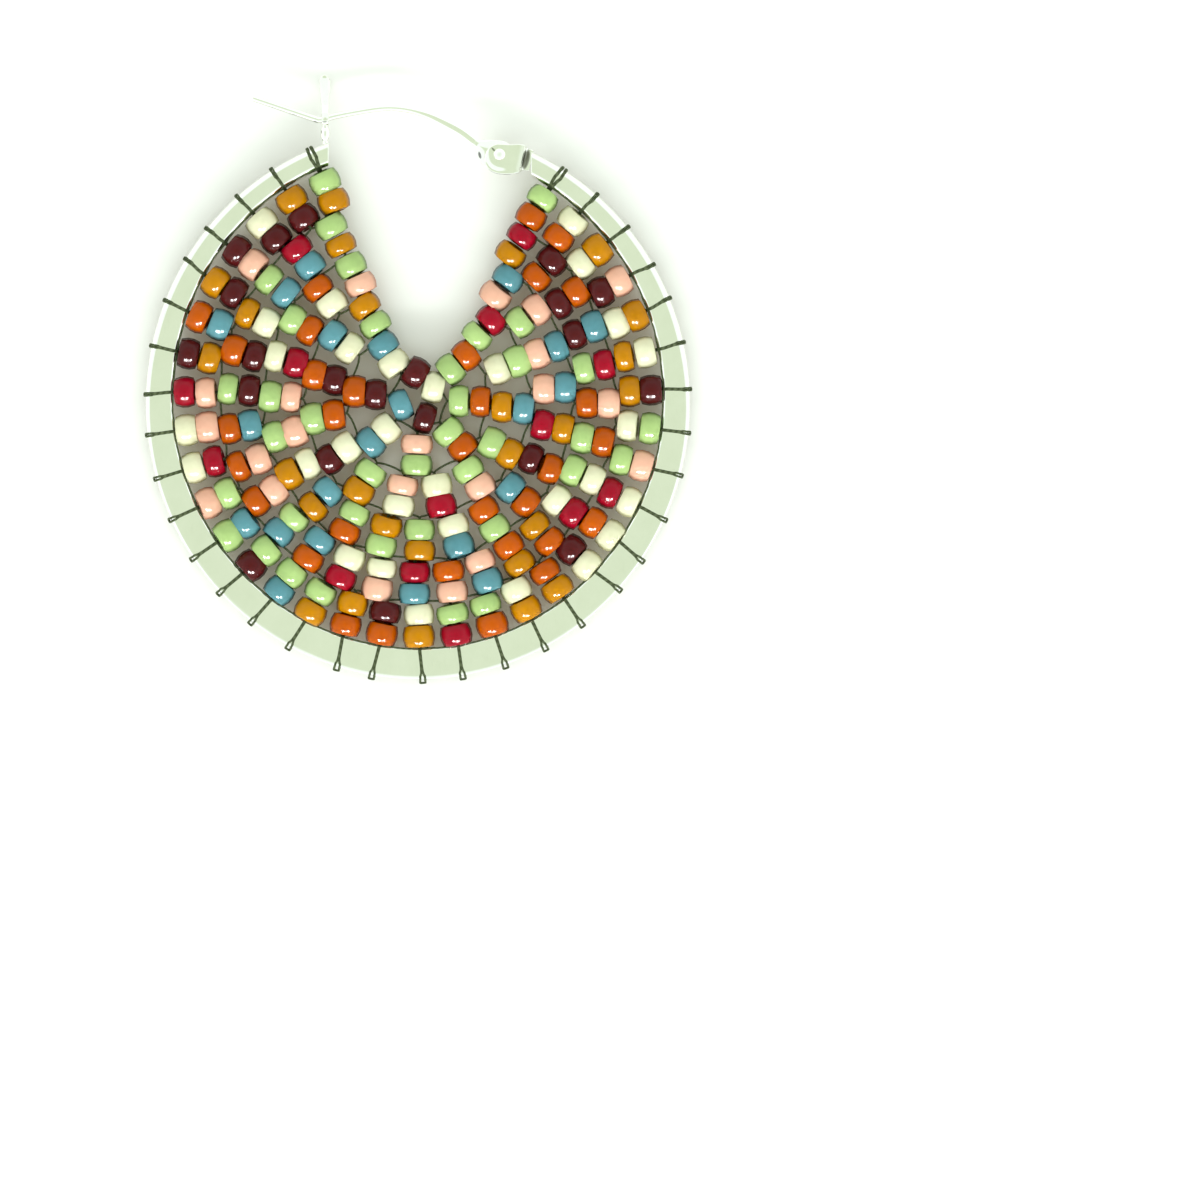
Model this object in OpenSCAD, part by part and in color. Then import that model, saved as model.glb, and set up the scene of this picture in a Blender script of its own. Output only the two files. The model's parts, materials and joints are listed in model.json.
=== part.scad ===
// Beaded hoop earring: a flattened tube bent into an open hoop, a panel of two-drop brick stitch
// inside it, and a hinged ear wire that springs down into a fork catch. Lengths are in millimetres.
// It is drawn flat, with +X to the right, +Y up the hoop and +Z out of its face, and then laid on a table.

/* [Hoop] */
// Width of the hoop over the outside
hoop_w = 51.4; // [51:0.1:52]
// Height of the hoop over the outside, as if it were closed
hoop_h = 52.2; // [51.8:0.1:52.8]
// Width of the hoop's window
window_w = 46.2; // [46:0.1:46.4]
// Height of the hoop's window, as if it were closed
window_h = 47.2; // [47:0.1:47.4]
// How far the window's middle lies above the hoop's, which makes the tube widest at the bottom
window_up = 0.4; // [0.3:0.05:0.5]
// Girth of the tube, which stays the same however flat it is pressed
tube_girth = 6.36; // [6.3:0.02:6.5]
// How far left of the middle the tube ends, at the catch
left_end = 8.4; // [8.2:0.1:8.6]
// How far right of the middle the tube ends, at the hinge
right_end = 10.7; // [10.6:0.1:10.9]

/* [Beadwork] */
// Diameter of a seed bead
bead_d = 2.97; // [2.9:0.01:3.05]
// Length of a seed bead along its hole
bead_l = 2.14; // [2.1:0.01:2.2]
// Slits between beads up to this wide are closed in the panel
closed_slit = 0.9; // [0.8:0.05:1.1]
// Air between the panel and the tube
panel_air = 0.1; // [0.05:0.05:0.2]

/* [Ear wire] */
// Diameter of the wire
wire_d = 0.64; // [0.6:0.02:0.7]
// Thickness of the wire's end where it is hammered flat to an eye
eye_t = 0.5; // [0.45:0.05:0.5]
// Length of the straight tail past the catch
tail_l = 6; // [5:0.5:7]

/* [Catch] */
// Width of the strip that the fork is bent from, at the wire
fork_w = 0.68; // [0.6:0.02:0.8]
// Width of the fork's rounded tips
fork_tip_w = 1.0; // [0.9:0.05:1.1]
// Thickness of the strip
fork_t = 0.42; // [0.38:0.02:0.5]
// Height of the fork above the middle of its round seat
fork_h = 4.1; // [3.8:0.05:4.3]
// Distance over both tips, front to back
fork_spread = 4.9; // [4.8:0.1:5.2]

/* [Hinge] */
// Diameter of the rivet
pin_d = 0.68; // [0.64:0.02:0.7]
// Diameter of the rivet's heads
head_d = 1.1; // [1:0.05:1.2]
// Thickness of the bracket over both cheeks
cheeks_t = 1.7; // [1.66:0.02:1.8]
// Slot between the cheeks
slot_t = 0.62; // [0.62:0.02:0.7]
// Air round the rivet in the wire's eye
eye_air = 0.06; // [0.04:0.01:0.08]

/* [Hidden] */
$fn = 48;
PI_LESS_2 = PI - 2;
seat_air = 0.02;

// Tube: one ring of points each TUBE_STEP degrees, from the catch down round the hoop to the hinge
TUBE_START = 104;
TUBE_END = 434;
TUBE_STEP = 5;
ROUND_POINTS = 7;

// Catch: the wire rests at the bottom of the fork
seat = [-8.74, 26.7];
fork_air = 0.1;
fork_in_r = wire_d / 2 + fork_air;
stem_d = 1.06;
stem_foot_y = 24.2;
tip_y = seat.y + fork_h;

// Hinge: the rivet's axis, and the bracket beside it
pivot = [7.7, 23.42];
cheek_r = 1.4;
cheek_mid = [7.68, 22.96];
slot_end_x = pivot.x + 1.5;
rib = [0.72, 3.05, 1.96];
rib_mid = [9.48, 22.95];
rib_lean = -13;
neck_from = [9.5, 22.98];
neck_turn = -25;
neck = [1.55, 1.1];
tongue = [1.15, 0.8];
neck_l = 0.85;
tongue_l = 1.65;
pocket_air = 0.04;

// Ear wire: its middle line from the eye over the crown to the catch, before it turns up into the tail
wire_route = [
    [6.1, 24.1], [5.4, 24.55], [4.1, 25.55], [2.9, 26.22], [1.1, 27.08], [-0.6, 27.6],
    [-2.2, 27.82], [-3.8, 27.77], [-6, 27.42], [-8, 27.02], [-8.74, 26.77], [-9.3, 26.72], [-10, 26.9], [-10.5, 27.07]
];
tail_turn = 161.5;
tail_from = [-9.95, 26.88];
ROUTE_STEPS = 3;
WIRE_SIDES = 10;
eye_r = 1.36;
paddle_r = 1.1;
paddle_mid = [6.85, 23.36];

// Beadwork: a row hangs from the bridges of thread between the stacks of the row outside it.
// Each line gives the radii of the row's outer and inner beads, the angles of its first and last
// stack, and which bridges of the row outside it leaves out.
ROWS = [
    [22.42, 20.30, 113.5, 417.7, []],
    [18.45, 16.30, 117.0, 417.0, [3, 8, 13, 18, 24, 29]],
    [14.28, 12.27, 117.0, 412.8, [5, 9, 13, 17, 20, 24]],
    [10.29, 8.27, 120.0, 407.0, [3, 6, 9, 12, 15, 18]],
    [6.06, 4.19, 123.0, 402.0, [2, 4, 6, 8, 10]]
];
OUTER_R = 0;
INNER_R = 1;
FIRST_A = 2;
LAST_A = 3;
LEFT_OUT = 4;
FIRST_ROW_STACKS = 34;
SETTLE_PASSES = 6;
SETTLE_PULL = 0.75;
row_mid_y = 0.28;
row_squash = window_w / window_h;
// The four beads that close the middle: x, y and the turn of the hole
CLOSING = [[-0.2, 2.8, 10], [1.6, 1.7, 60], [-1.6, 0, 140], [0.85, -1.1, 30]];
// A bead shows as a flat on the panel's face, as long as its straight middle
bead_flat = [1.3, 1.9];
bead_rise = 0.35;

// Rest on a table: the back tip of the fork props the top up, and the panel's rim carries the bottom
rest_heading = 15;
rest_tip = [-8.74, 30.4];
rest_rim_r = ROWS[0][OUTER_R] + bead_flat.x / 2;
rest_up = [-sin(rest_heading), cos(rest_heading)];
rest_tilt = atan((fork_spread - bead_d) / 2 / (rest_tip * rest_up + rest_rim_r - row_mid_y * cos(rest_heading)));
rest_lift = bead_d / 2 * cos(rest_tilt) + (rest_rim_r - row_mid_y * cos(rest_heading)) * sin(rest_tilt);
rest_back = (tip_y - hoop_h / 2) / 2;

// Points on the outer and inner edge of the tube, and how thick its girth leaves it there
function outer_edge(a) = [hoop_w / 2 * cos(a), hoop_h / 2 * sin(a)];
function inner_edge(a) = [window_w / 2 * cos(a), window_up + window_h / 2 * sin(a)];
function thickness(width) = (tube_girth - 2 * width) / PI_LESS_2;

// One ring of the tube: a flat oval across it, rounded at the outer and the inner edge
function tube_ring(a) =
    let (o = outer_edge(a), i = inner_edge(a), w = norm(o - i), out = (o - i) / w, t = thickness(w))
    [for (side = [1, -1], k = [0:ROUND_POINTS - 1])
        let (turn = -90 * side + 180 * k / (ROUND_POINTS - 1),
             p = (o + i) / 2 + out * (side * (w - t) / 2 + cos(turn) * t / 2))
        [p.x, p.y, sin(turn) * t / 2]];

// Faces that join the rings of a sweep and close its two ends
function sweep_faces(rings, sides) = concat(
    [[for (k = [0:sides - 1]) k]],
    [for (r = [0:rings - 2], k = [0:sides - 1])
        let (a = r * sides + k, b = r * sides + (k + 1) % sides)
        [a, a + sides, b + sides, b]],
    [[for (k = [sides - 1:-1:0]) (rings - 1) * sides + k]]);

// A smooth line through the points of a route
function on_curve(a, b, c, d, t) =
    0.5 * ((2 * b) + (c - a) * t + (2 * a - 5 * b + 4 * c - d) * t * t + (3 * b - a - 3 * c + d) * t * t * t);
function smooth_route(p) =
    let (last = len(p) - 1)
    [for (i = [0:last - 1], s = [0:ROUTE_STEPS - 1])
        on_curve(p[max(i - 1, 0)], p[i], p[i + 1], p[min(i + 2, last)], s / ROUTE_STEPS), p[last]];

// Angles of a row's stacks: the bridges it keeps, then drawn together until they hang evenly
function bridges(a) = [for (i = [0:len(a) - 2]) (a[i] + a[i + 1]) / 2];
function kept(a, out) = [for (i = [0:len(a) - 1]) if (len(search(i + 1, out)) == 0) a[i]];
function pin_ends(a, row) =
    [for (i = [0:len(a) - 1]) i == 0 ? row[FIRST_A] : i == len(a) - 1 ? row[LAST_A] : a[i]];
function settle(a, passes) =
    passes == 0 ? a : settle(
        [for (i = [0:len(a) - 1])
            i == 0 || i == len(a) - 1 ? a[i] : a[i] + SETTLE_PULL * ((a[i - 1] + a[i + 1]) / 2 - a[i])],
        passes - 1);
function first_row() =
    let (row = ROWS[0], n = FIRST_ROW_STACKS - 1)
    [for (i = [0:n]) row[FIRST_A] + (row[LAST_A] - row[FIRST_A]) * i / n];
function row_angles(r) =
    r == 0 ? first_row() : settle(pin_ends(kept(bridges(row_angles(r - 1)), ROWS[r][LEFT_OUT]), ROWS[r]), SETTLE_PASSES);

module laid_on_table() {
    translate([0, -rest_back, rest_lift])
        rotate([0, 0, rest_heading])
            rotate([rest_tilt, 0, 0])
                rotate([0, 0, -rest_heading])
                    children();
}

module flat_tube() {
    angles = [for (a = [TUBE_END:-TUBE_STEP:TUBE_START]) a];
    polyhedron(
        points = [for (a = angles) each tube_ring(a)],
        faces = sweep_faces(len(angles), 2 * ROUND_POINTS),
        convexity = 6);
}

// The fork from the side, in y and z, and from the front, in x and y
module fork_side() {
    difference() {
        circle(r = fork_in_r + fork_t);
        circle(r = fork_in_r);
        translate([-3, 0]) square([6, 3]);
    }
    for (side = [-1, 1]) {
        tip_z = side * (fork_spread - fork_t) / 2;
        polygon([
            [side * fork_in_r, -0.02], [side * (fork_in_r + fork_t), -0.02],
            [tip_z + side * fork_t / 2, fork_h - fork_t / 2], [tip_z - side * fork_t / 2, fork_h - fork_t / 2]]);
        translate([tip_z, fork_h - fork_t / 2]) circle(d = fork_t);
    }
}

module fork_front() {
    round_y = fork_h - fork_tip_w / 2;
    polygon([
        [-fork_w / 2, -1.2], [fork_w / 2, -1.2], [fork_w / 2, 1.2],
        [fork_tip_w / 2, round_y], [-fork_tip_w / 2, round_y], [-fork_w / 2, 1.2]]);
    translate([0, round_y]) circle(d = fork_tip_w);
}

module catch_fork() {
    stem_top = seat.y - fork_in_r - fork_t / 2;
    translate([seat.x, seat.y, 0])
        intersection() {
            rotate([0, 90, 0]) linear_extrude(height = 2, center = true) fork_side();
            linear_extrude(height = 2 * fork_spread, center = true) fork_front();
        }
    translate([seat.x, stem_foot_y, 0])
        rotate([-90, 0, 0])
            cylinder(d = stem_d, h = stem_top - stem_foot_y);
}

module hoop_frame() {
    color("silver") {
        difference() {
            flat_tube();
            translate([-left_end, 15, -2]) cube([left_end + right_end, 15, 4]);
            translate([neck_from.x, neck_from.y, 0])
                rotate([0, 0, neck_turn])
                    translate([0, -tongue.x / 2 - pocket_air, -tongue.y / 2 - pocket_air])
                        cube([neck_l + tongue_l + 2 * pocket_air, tongue.x + 2 * pocket_air, tongue.y + 2 * pocket_air]);
        }
        catch_fork();
    }
}

module hinge_bracket() {
    color("gainsboro") {
        difference() {
            union() {
                linear_extrude(height = cheeks_t, center = true) {
                    translate(cheek_mid) circle(r = cheek_r);
                    translate([cheek_mid.x, cheek_mid.y - cheek_r])
                        square([rib_mid.x - cheek_mid.x, 2 * cheek_r]);
                }
                translate([rib_mid.x, rib_mid.y, 0]) rotate([0, 0, rib_lean]) cube(rib, center = true);
                translate([neck_from.x, neck_from.y, 0])
                    rotate([0, 0, neck_turn]) {
                        translate([0, -neck.x / 2, -neck.y / 2]) cube([neck_l, neck.x, neck.y]);
                        translate([0, -tongue.x / 2, -tongue.y / 2]) cube([neck_l + tongue_l, tongue.x, tongue.y]);
                    }
            }
            translate([pivot.x - 4, pivot.y - 4, -slot_t / 2]) cube([slot_end_x - pivot.x + 4, 8, slot_t]);
            translate([pivot.x, pivot.y, -2]) cylinder(d = pin_d + 2 * seat_air, h = 4);
        }
    }
}

module rivet_head() {
    dome_r = 0.75;
    dome_h = 0.34;
    rotate_extrude()
        intersection() {
            translate([0, dome_h - dome_r]) circle(r = dome_r);
            square([head_d / 2, dome_h]);
        }
}

module hinge_pin() {
    head_z = cheeks_t / 2 + seat_air;
    color("whitesmoke")
        translate([pivot.x, pivot.y, 0]) {
            cylinder(d = pin_d, h = 2 * head_z + 0.1, center = true);
            for (side = [0, 180]) rotate([side, 0, 0]) translate([0, 0, head_z]) rivet_head();
        }
}

// The wire from the eye to the catch: its rings shrink a little at both ends, where they lie inside other metal
module bent_wire() {
    route = smooth_route(wire_route);
    last = len(route) - 1;
    function ring(i) =
        let (ahead = route[min(i + 1, last)] - route[max(i - 1, 0)], side = [-ahead.y, ahead.x] / norm(ahead),
             r = wire_d / 2 * (i == 0 || i > last - 2 ? 0.8 : 1))
        [for (k = [0:WIRE_SIDES - 1])
            let (turn = 360 * k / WIRE_SIDES, p = route[i] + side * r * cos(turn))
            [p.x, p.y, r * sin(turn)]];
    polyhedron(
        points = [for (i = [0:last]) each ring(i)],
        faces = sweep_faces(last + 1, WIRE_SIDES),
        convexity = 4);
}

module wire_tail() {
    translate([tail_from.x, tail_from.y, 0])
        rotate([0, 90, tail_turn])
            rotate_extrude() {
                square([wire_d / 2, tail_l - wire_d / 2]);
                translate([0, tail_l - wire_d / 2])
                    intersection() {
                        circle(d = wire_d);
                        square(wire_d);
                    }
            }
}

module ear_wire() {
    color("lightgray") {
        difference() {
            linear_extrude(height = eye_t, center = true) {
                translate(pivot) circle(r = eye_r);
                translate(paddle_mid) circle(r = paddle_r);
                polygon([[5.05, 24.5], [5.75, 23.4], [7, 23.2], [7.7, 24.3], [6.6, 24.62], [5.4, 24.95]]);
            }
            translate([pivot.x, pivot.y, -2]) cylinder(d = pin_d + 2 * eye_air, h = 4);
        }
        bent_wire();
        wire_tail();
    }
}

// Places what follows at radius r and angle a of the beadwork, turned so that +X points outwards
module on_row(r, a) {
    translate([row_squash * r * cos(a), row_mid_y + r * sin(a)]) rotate(a) children();
}

// A stack of two beads, end to end along the thread, seen from the front
module stack_outline(row, a) {
    reach = row[OUTER_R] - row[INNER_R] + bead_l;
    on_row((row[OUTER_R] + row[INNER_R]) / 2, a) square([reach, bead_d], center = true);
}

module beadwork_outline() {
    intersection() {
        translate([0, window_up])
            scale([window_w / 2 - panel_air, window_h / 2 - panel_air]) circle(r = 1, $fn = 90);
        offset(delta = -closed_slit / 2)
            offset(delta = closed_slit / 2) {
                for (r = [0:len(ROWS) - 1])
                    for (a = row_angles(r)) stack_outline(ROWS[r], a);
                for (bead = CLOSING)
                    translate([bead.x, bead.y]) rotate(bead.z) square([bead_l, bead_d], center = true);
            }
    }
}

module bead_flats() {
    for (row_no = [0:len(ROWS) - 1], a = row_angles(row_no), which = [OUTER_R, INNER_R])
        on_row(ROWS[row_no][which], a) square(bead_flat, center = true);
    for (bead = CLOSING)
        translate([bead.x, bead.y]) rotate(bead.z) square(bead_flat, center = true);
}

module bead_panel() {
    color("peru") {
        linear_extrude(height = bead_d - 2 * bead_rise, center = true) beadwork_outline();
        linear_extrude(height = bead_d, center = true) offset(delta = 0.01) bead_flats();
    }
}

laid_on_table() hoop_frame();
laid_on_table() bead_panel();
laid_on_table() hinge_bracket();
laid_on_table() hinge_pin();
laid_on_table() ear_wire();
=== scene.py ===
"""Dresses a beaded hoop earring that lies face up on a white table.

A tube pressed flat makes the hoop, with a fork catch at one end and a riveted hinge at the other. An
ear wire swings on the rivet. Five rows of seed beads in two-drop brick stitch hang inside the hoop on
dark thread. The metal and the beadwork are drawn flat, in millimetres, with +X to the right, +Y up the
hoop and +Z out of its face. Laying then turns them on to the table, in metres.
"""

import json
import logging
import math
import random
from dataclasses import dataclass, field
from enum import Enum
from typing import Any, Optional, Sequence

import bmesh
import bpy
import numpy as np
from mathutils import Matrix, Vector
from mathutils.geometry import convex_hull_2d, intersect_point_line


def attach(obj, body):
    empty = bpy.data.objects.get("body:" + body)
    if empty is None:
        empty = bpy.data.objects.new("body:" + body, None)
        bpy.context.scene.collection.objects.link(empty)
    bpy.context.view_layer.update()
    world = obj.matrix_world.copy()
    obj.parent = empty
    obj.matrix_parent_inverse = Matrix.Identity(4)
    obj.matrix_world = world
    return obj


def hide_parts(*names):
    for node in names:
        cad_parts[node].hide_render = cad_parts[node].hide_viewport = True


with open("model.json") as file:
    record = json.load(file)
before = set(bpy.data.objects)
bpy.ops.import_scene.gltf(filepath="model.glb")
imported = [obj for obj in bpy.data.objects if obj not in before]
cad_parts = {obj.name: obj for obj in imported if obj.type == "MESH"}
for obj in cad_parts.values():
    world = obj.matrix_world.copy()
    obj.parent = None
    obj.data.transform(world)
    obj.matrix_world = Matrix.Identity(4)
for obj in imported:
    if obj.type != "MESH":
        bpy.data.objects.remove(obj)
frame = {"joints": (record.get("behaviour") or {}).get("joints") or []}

LOG = logging.getLogger("beaded_hoop_earring")
MM = 0.001
RIGHT = Vector((1.0, 0.0, 0.0))
AHEAD = Vector((0.0, 1.0, 0.0))
UP = Vector((0.0, 0.0, 1.0))

# The rivet's middle on the flat drawing
RIVET = (7.7, 23.42)

# How square a bar's ring is
OVAL = 2.0
BOX = 40.0

# The smallest share of its radius that a round end closes to
LEAST_TIP = 0.05

# Sockets of a Mix node that mixes two colours
MIX_FACTOR = 0
MIX_A = 6
MIX_B = 7
MIX_COLOUR = 2


def linear(code: str) -> tuple[float, float, float, float]:
    """Turns an sRGB hex colour to linear light.

    Args:
        code: The colour as "#RRGGBB".

    Returns:
        Red, green and blue, and 1 for opaque.
    """
    values = [int(code[at:at + 2], 16) / 255 for at in (1, 3, 5)]
    lit = [v / 12.92 if v <= 0.04045 else ((v + 0.055) / 1.055) ** 2.4 for v in values]
    return lit[0], lit[1], lit[2], 1.0


def add_node(tree: bpy.types.NodeTree, kind: str, inputs: Optional[dict] = None,
             **settings: Any) -> bpy.types.Node:
    """Adds a node to a tree, with its settings, its values and its links.

    Args:
        tree: The tree.
        kind: Blender's name of the kind of node.
        inputs: For an input's name or number, its value or the output that feeds it.
        settings: The node's own settings.

    Returns:
        The node.
    """
    node = tree.nodes.new(kind)
    for name, value in settings.items():
        setattr(node, name, value)
    for key, value in (inputs or {}).items():
        socket = node.inputs[key]
        if isinstance(value, bpy.types.NodeSocket):
            tree.links.new(value, socket)
        else:
            socket.default_value = value
    return node


def per_mm(size_mm: float) -> float:
    """Gives the scale, on coordinates in metres, of a pattern whose features are this far apart."""
    return 1.0 / (size_mm * MM)


def new_material(name: str) -> tuple[bpy.types.Material, bpy.types.NodeTree]:
    """Makes a material with an empty node tree.

    Args:
        name: Its name.

    Returns:
        The material and its tree.
    """
    material = bpy.data.materials.new(name)
    material.use_nodes = True
    material.node_tree.nodes.clear()
    return material, material.node_tree


@dataclass(frozen=True)
class TarnishAndPaintedShade:
    """A long dark mark, for tarnish where polish never reached and for painted shadow, shade and reflection,
    with its middle in metres and its half sizes in mm.
    """

    middle: Vector
    half_wide: float
    half_long: float
    turn_deg: float
    colour: str
    solid_to: float = 0.7
    gone_by: float = 1.1
    strength: float = 0.92
    patchiness: float = 0.2
    patch_band: tuple[float, float] = (0.3, 0.7)
    streaks_across: float = 2.4
    streaks_along: float = 0.7
    dulling: float = 0.3

    def over(self, tree: bpy.types.NodeTree, place: bpy.types.NodeSocket, under: bpy.types.NodeSocket,
             rough: bpy.types.NodeSocket) -> tuple[bpy.types.NodeSocket, bpy.types.NodeSocket]:
        """Lays the mark over a colour and a roughness.

        Args:
            tree: The material's tree.
            place: The coordinates.
            under: The colour under the mark.
            rough: The roughness under it.

        Returns:
            The colour and the roughness with the mark.
        """
        near = add_node(tree, "ShaderNodeMapping", {
            "Vector": place, "Location": self.middle, "Rotation": (0.0, 0.0, math.radians(self.turn_deg)),
            "Scale": (self.half_wide * MM, self.half_long * MM, 1.0)},
            vector_type="TEXTURE").outputs["Vector"]
        far = add_node(tree, "ShaderNodeVectorMath", {0: near}, operation="LENGTH").outputs["Value"]
        fade = add_node(tree, "ShaderNodeMapRange", {
            "Value": far, "From Min": self.solid_to, "From Max": self.gone_by,
            "To Min": self.strength, "To Max": 0.0},
            interpolation_type="SMOOTHSTEP").outputs["Result"]
        streaks = add_node(tree, "ShaderNodeTexNoise", {
            "Vector": add_node(tree, "ShaderNodeMapping", {
                "Vector": near, "Scale": (self.streaks_across, self.streaks_along, 0.0)}).outputs["Vector"],
            "Scale": 1.0, "Detail": 2.0})
        patchy = add_node(tree, "ShaderNodeMapRange", {
            "Value": streaks.outputs["Fac"], "From Min": self.patch_band[0], "From Max": self.patch_band[1],
            "To Min": 1.0, "To Max": 1.0 - self.patchiness})
        share = add_node(tree, "ShaderNodeMath", {0: fade, 1: patchy.outputs["Result"]}, operation="MULTIPLY")
        colour = add_node(tree, "ShaderNodeMix", {
            MIX_FACTOR: share.outputs["Value"], MIX_A: under, MIX_B: linear(self.colour)}, data_type="RGBA")
        duller = add_node(tree, "ShaderNodeMath", {
            0: share.outputs["Value"], 1: self.dulling, 2: rough}, operation="MULTIPLY_ADD")
        return colour.outputs[MIX_COLOUR], duller.outputs["Value"]


@dataclass(frozen=True)
class SilverPlate:
    """Silver plate over brass, polished bright: a mirror with a faint haze, fine rubbing and soft dimples."""

    name: str
    # Dark marks over the metal: tarnish, and painted shadow, shade and reflection
    marks: tuple[TarnishAndPaintedShade, ...] = ()
    bright: str = "#FAFAF7"
    dull: str = "#ECEEE6"
    roughness: float = 0.06
    haze: float = 0.06
    haze_mm: float = 2.4
    haze_band: tuple[float, float] = (0.35, 1.0)
    haze_grain: float = 0.6
    rub_mm: float = 0.2
    rub_length: float = 6.0
    rub_turn: float = 0.6
    rub_most: float = 0.25
    rub_band: tuple[float, float] = (0.6, 0.85)
    dimple_mm: float = 1.4
    dimple_depth: float = 0.03
    dimple_high_mm: float = 0.1

    def material(self) -> bpy.types.Material:
        """Builds the material.

        Returns:
            The material.
        """
        material, tree = new_material(self.name)
        place = add_node(tree, "ShaderNodeTexCoord").outputs["Object"]
        haze = add_node(tree, "ShaderNodeTexNoise", {
            "Vector": place, "Scale": per_mm(self.haze_mm), "Detail": 4.0,
            "Roughness": self.haze_grain})
        stretched = add_node(tree, "ShaderNodeMapping", {
            "Vector": place, "Rotation": (0.0, 0.0, self.rub_turn),
            "Scale": (1.0, 1.0 / self.rub_length, 1.0)})
        rub = add_node(tree, "ShaderNodeTexNoise", {
            "Vector": stretched.outputs["Vector"], "Scale": per_mm(self.rub_mm), "Detail": 2.0})
        worn = add_node(tree, "ShaderNodeMapRange", {
            "Value": rub.outputs["Fac"], "From Min": self.rub_band[0], "From Max": self.rub_band[1],
            "To Min": 0.0, "To Max": self.rub_most})
        dulled = add_node(tree, "ShaderNodeMath", {
            0: haze.outputs["Fac"], 1: worn.outputs["Result"]}, operation="ADD")
        rough = add_node(tree, "ShaderNodeMapRange", {
            "Value": dulled.outputs["Value"], "From Min": self.haze_band[0], "From Max": self.haze_band[1],
            "To Min": self.roughness, "To Max": self.roughness + self.haze})
        tone = add_node(tree, "ShaderNodeMix", {
            MIX_FACTOR: dulled.outputs["Value"], MIX_A: linear(self.bright), MIX_B: linear(self.dull)},
            data_type="RGBA")
        colour, roughness = tone.outputs[MIX_COLOUR], rough.outputs["Result"]
        # Lays each dark mark over the colour: tarnish, and painted shadow, shade and reflection
        for mark in self.marks:
            colour, roughness = mark.over(tree, place, colour, roughness)
        dimples = add_node(tree, "ShaderNodeTexNoise", {
            "Vector": place, "Scale": per_mm(self.dimple_mm), "Detail": 1.0})
        bump = add_node(tree, "ShaderNodeBump", {
            "Height": dimples.outputs["Fac"], "Strength": self.dimple_depth,
            "Distance": self.dimple_high_mm * MM})
        shader = add_node(tree, "ShaderNodeBsdfPrincipled", {
            "Base Color": colour, "Metallic": 1.0, "Roughness": roughness, "Normal": bump.outputs["Normal"]})
        add_node(tree, "ShaderNodeOutputMaterial", {"Surface": shader.outputs["BSDF"]})
        return material


@dataclass(frozen=True)
class OpaqueGlass:
    """Opaque glass of a seed bead, tumbled in a kiln: one deep colour under a wet gloss, a little uneven,
    with painted shade that deepens it where its surface turns away from straight up.
    """

    name: str
    body: str
    deep: str
    roughness: float = 0.1
    gloss: float = 0.12
    ior: float = 1.52
    streak_mm: float = 1.1
    streak_swirl: float = 0.8
    streak_band: tuple[float, float] = (0.3, 0.75)
    streak_depth: tuple[float, float] = (-0.06, 0.12)
    bead_to_bead: float = 0.22
    wave_mm: float = 0.8
    wave_depth: float = 0.12
    wave_high_mm: float = 0.1
    wave_band: tuple[float, float] = (0.3, 0.7)
    wave_roughness: float = 0.05
    # Painted shade: how much deeper the colour goes where the surface faces sideways instead of up
    painted_side_shade: float = 0.85
    painted_side_shade_band: tuple[float, float] = (0.02, 0.62)

    def material(self) -> bpy.types.Material:
        """Builds the material.

        Returns:
            The material.
        """
        material, tree = new_material(self.name)
        place = add_node(tree, "ShaderNodeTexCoord").outputs["Object"]
        shade = add_node(tree, "ShaderNodeAttribute", attribute_name=Mark.SHADE.value)
        streaks = add_node(tree, "ShaderNodeTexNoise", {
            "Vector": place, "Scale": per_mm(self.streak_mm), "Detail": 3.0,
            "Distortion": self.streak_swirl})
        uneven = add_node(tree, "ShaderNodeMapRange", {
            "Value": streaks.outputs["Fac"], "From Min": self.streak_band[0], "From Max": self.streak_band[1],
            "To Min": self.streak_depth[0], "To Max": self.streak_depth[1]})
        own = add_node(tree, "ShaderNodeMath", {
            0: shade.outputs["Fac"], 1: self.bead_to_bead, 2: uneven.outputs["Result"]},
            operation="MULTIPLY_ADD")
        # Painted shade: the colour goes towards the deep colour where the normal turns away from straight up,
        # on the bead's sides and ends, on top of its own uneven tone
        facing = add_node(tree, "ShaderNodeNewGeometry").outputs["Normal"]
        rise = add_node(tree, "ShaderNodeSeparateXYZ", {"Vector": facing}).outputs["Z"]
        side = add_node(tree, "ShaderNodeMapRange", {
            "Value": rise, "From Min": self.painted_side_shade_band[0], "From Max": self.painted_side_shade_band[1],
            "To Min": self.painted_side_shade, "To Max": 0.0},
            interpolation_type="SMOOTHSTEP")
        tone_and_painted_shade = add_node(tree, "ShaderNodeMath", {
            0: own.outputs["Value"], 1: side.outputs["Result"]}, operation="ADD", use_clamp=True)
        colour = add_node(tree, "ShaderNodeMix", {
            MIX_FACTOR: tone_and_painted_shade.outputs["Value"], MIX_A: linear(self.body), MIX_B: linear(self.deep)},
            data_type="RGBA")
        waves = add_node(tree, "ShaderNodeTexNoise", {
            "Vector": place, "Scale": per_mm(self.wave_mm), "Detail": 1.0})
        rough = add_node(tree, "ShaderNodeMapRange", {
            "Value": waves.outputs["Fac"], "From Min": self.wave_band[0], "From Max": self.wave_band[1],
            "To Min": self.roughness, "To Max": self.roughness + self.wave_roughness})
        bump = add_node(tree, "ShaderNodeBump", {
            "Height": waves.outputs["Fac"], "Strength": self.wave_depth, "Distance": self.wave_high_mm * MM})
        shader = add_node(tree, "ShaderNodeBsdfPrincipled", {
            "Base Color": colour.outputs[MIX_COLOUR], "Roughness": rough.outputs["Result"], "IOR": self.ior,
            "Specular IOR Level": self.gloss, "Normal": bump.outputs["Normal"]})
        add_node(tree, "ShaderNodeOutputMaterial", {"Surface": shader.outputs["BSDF"]})
        return material


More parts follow.
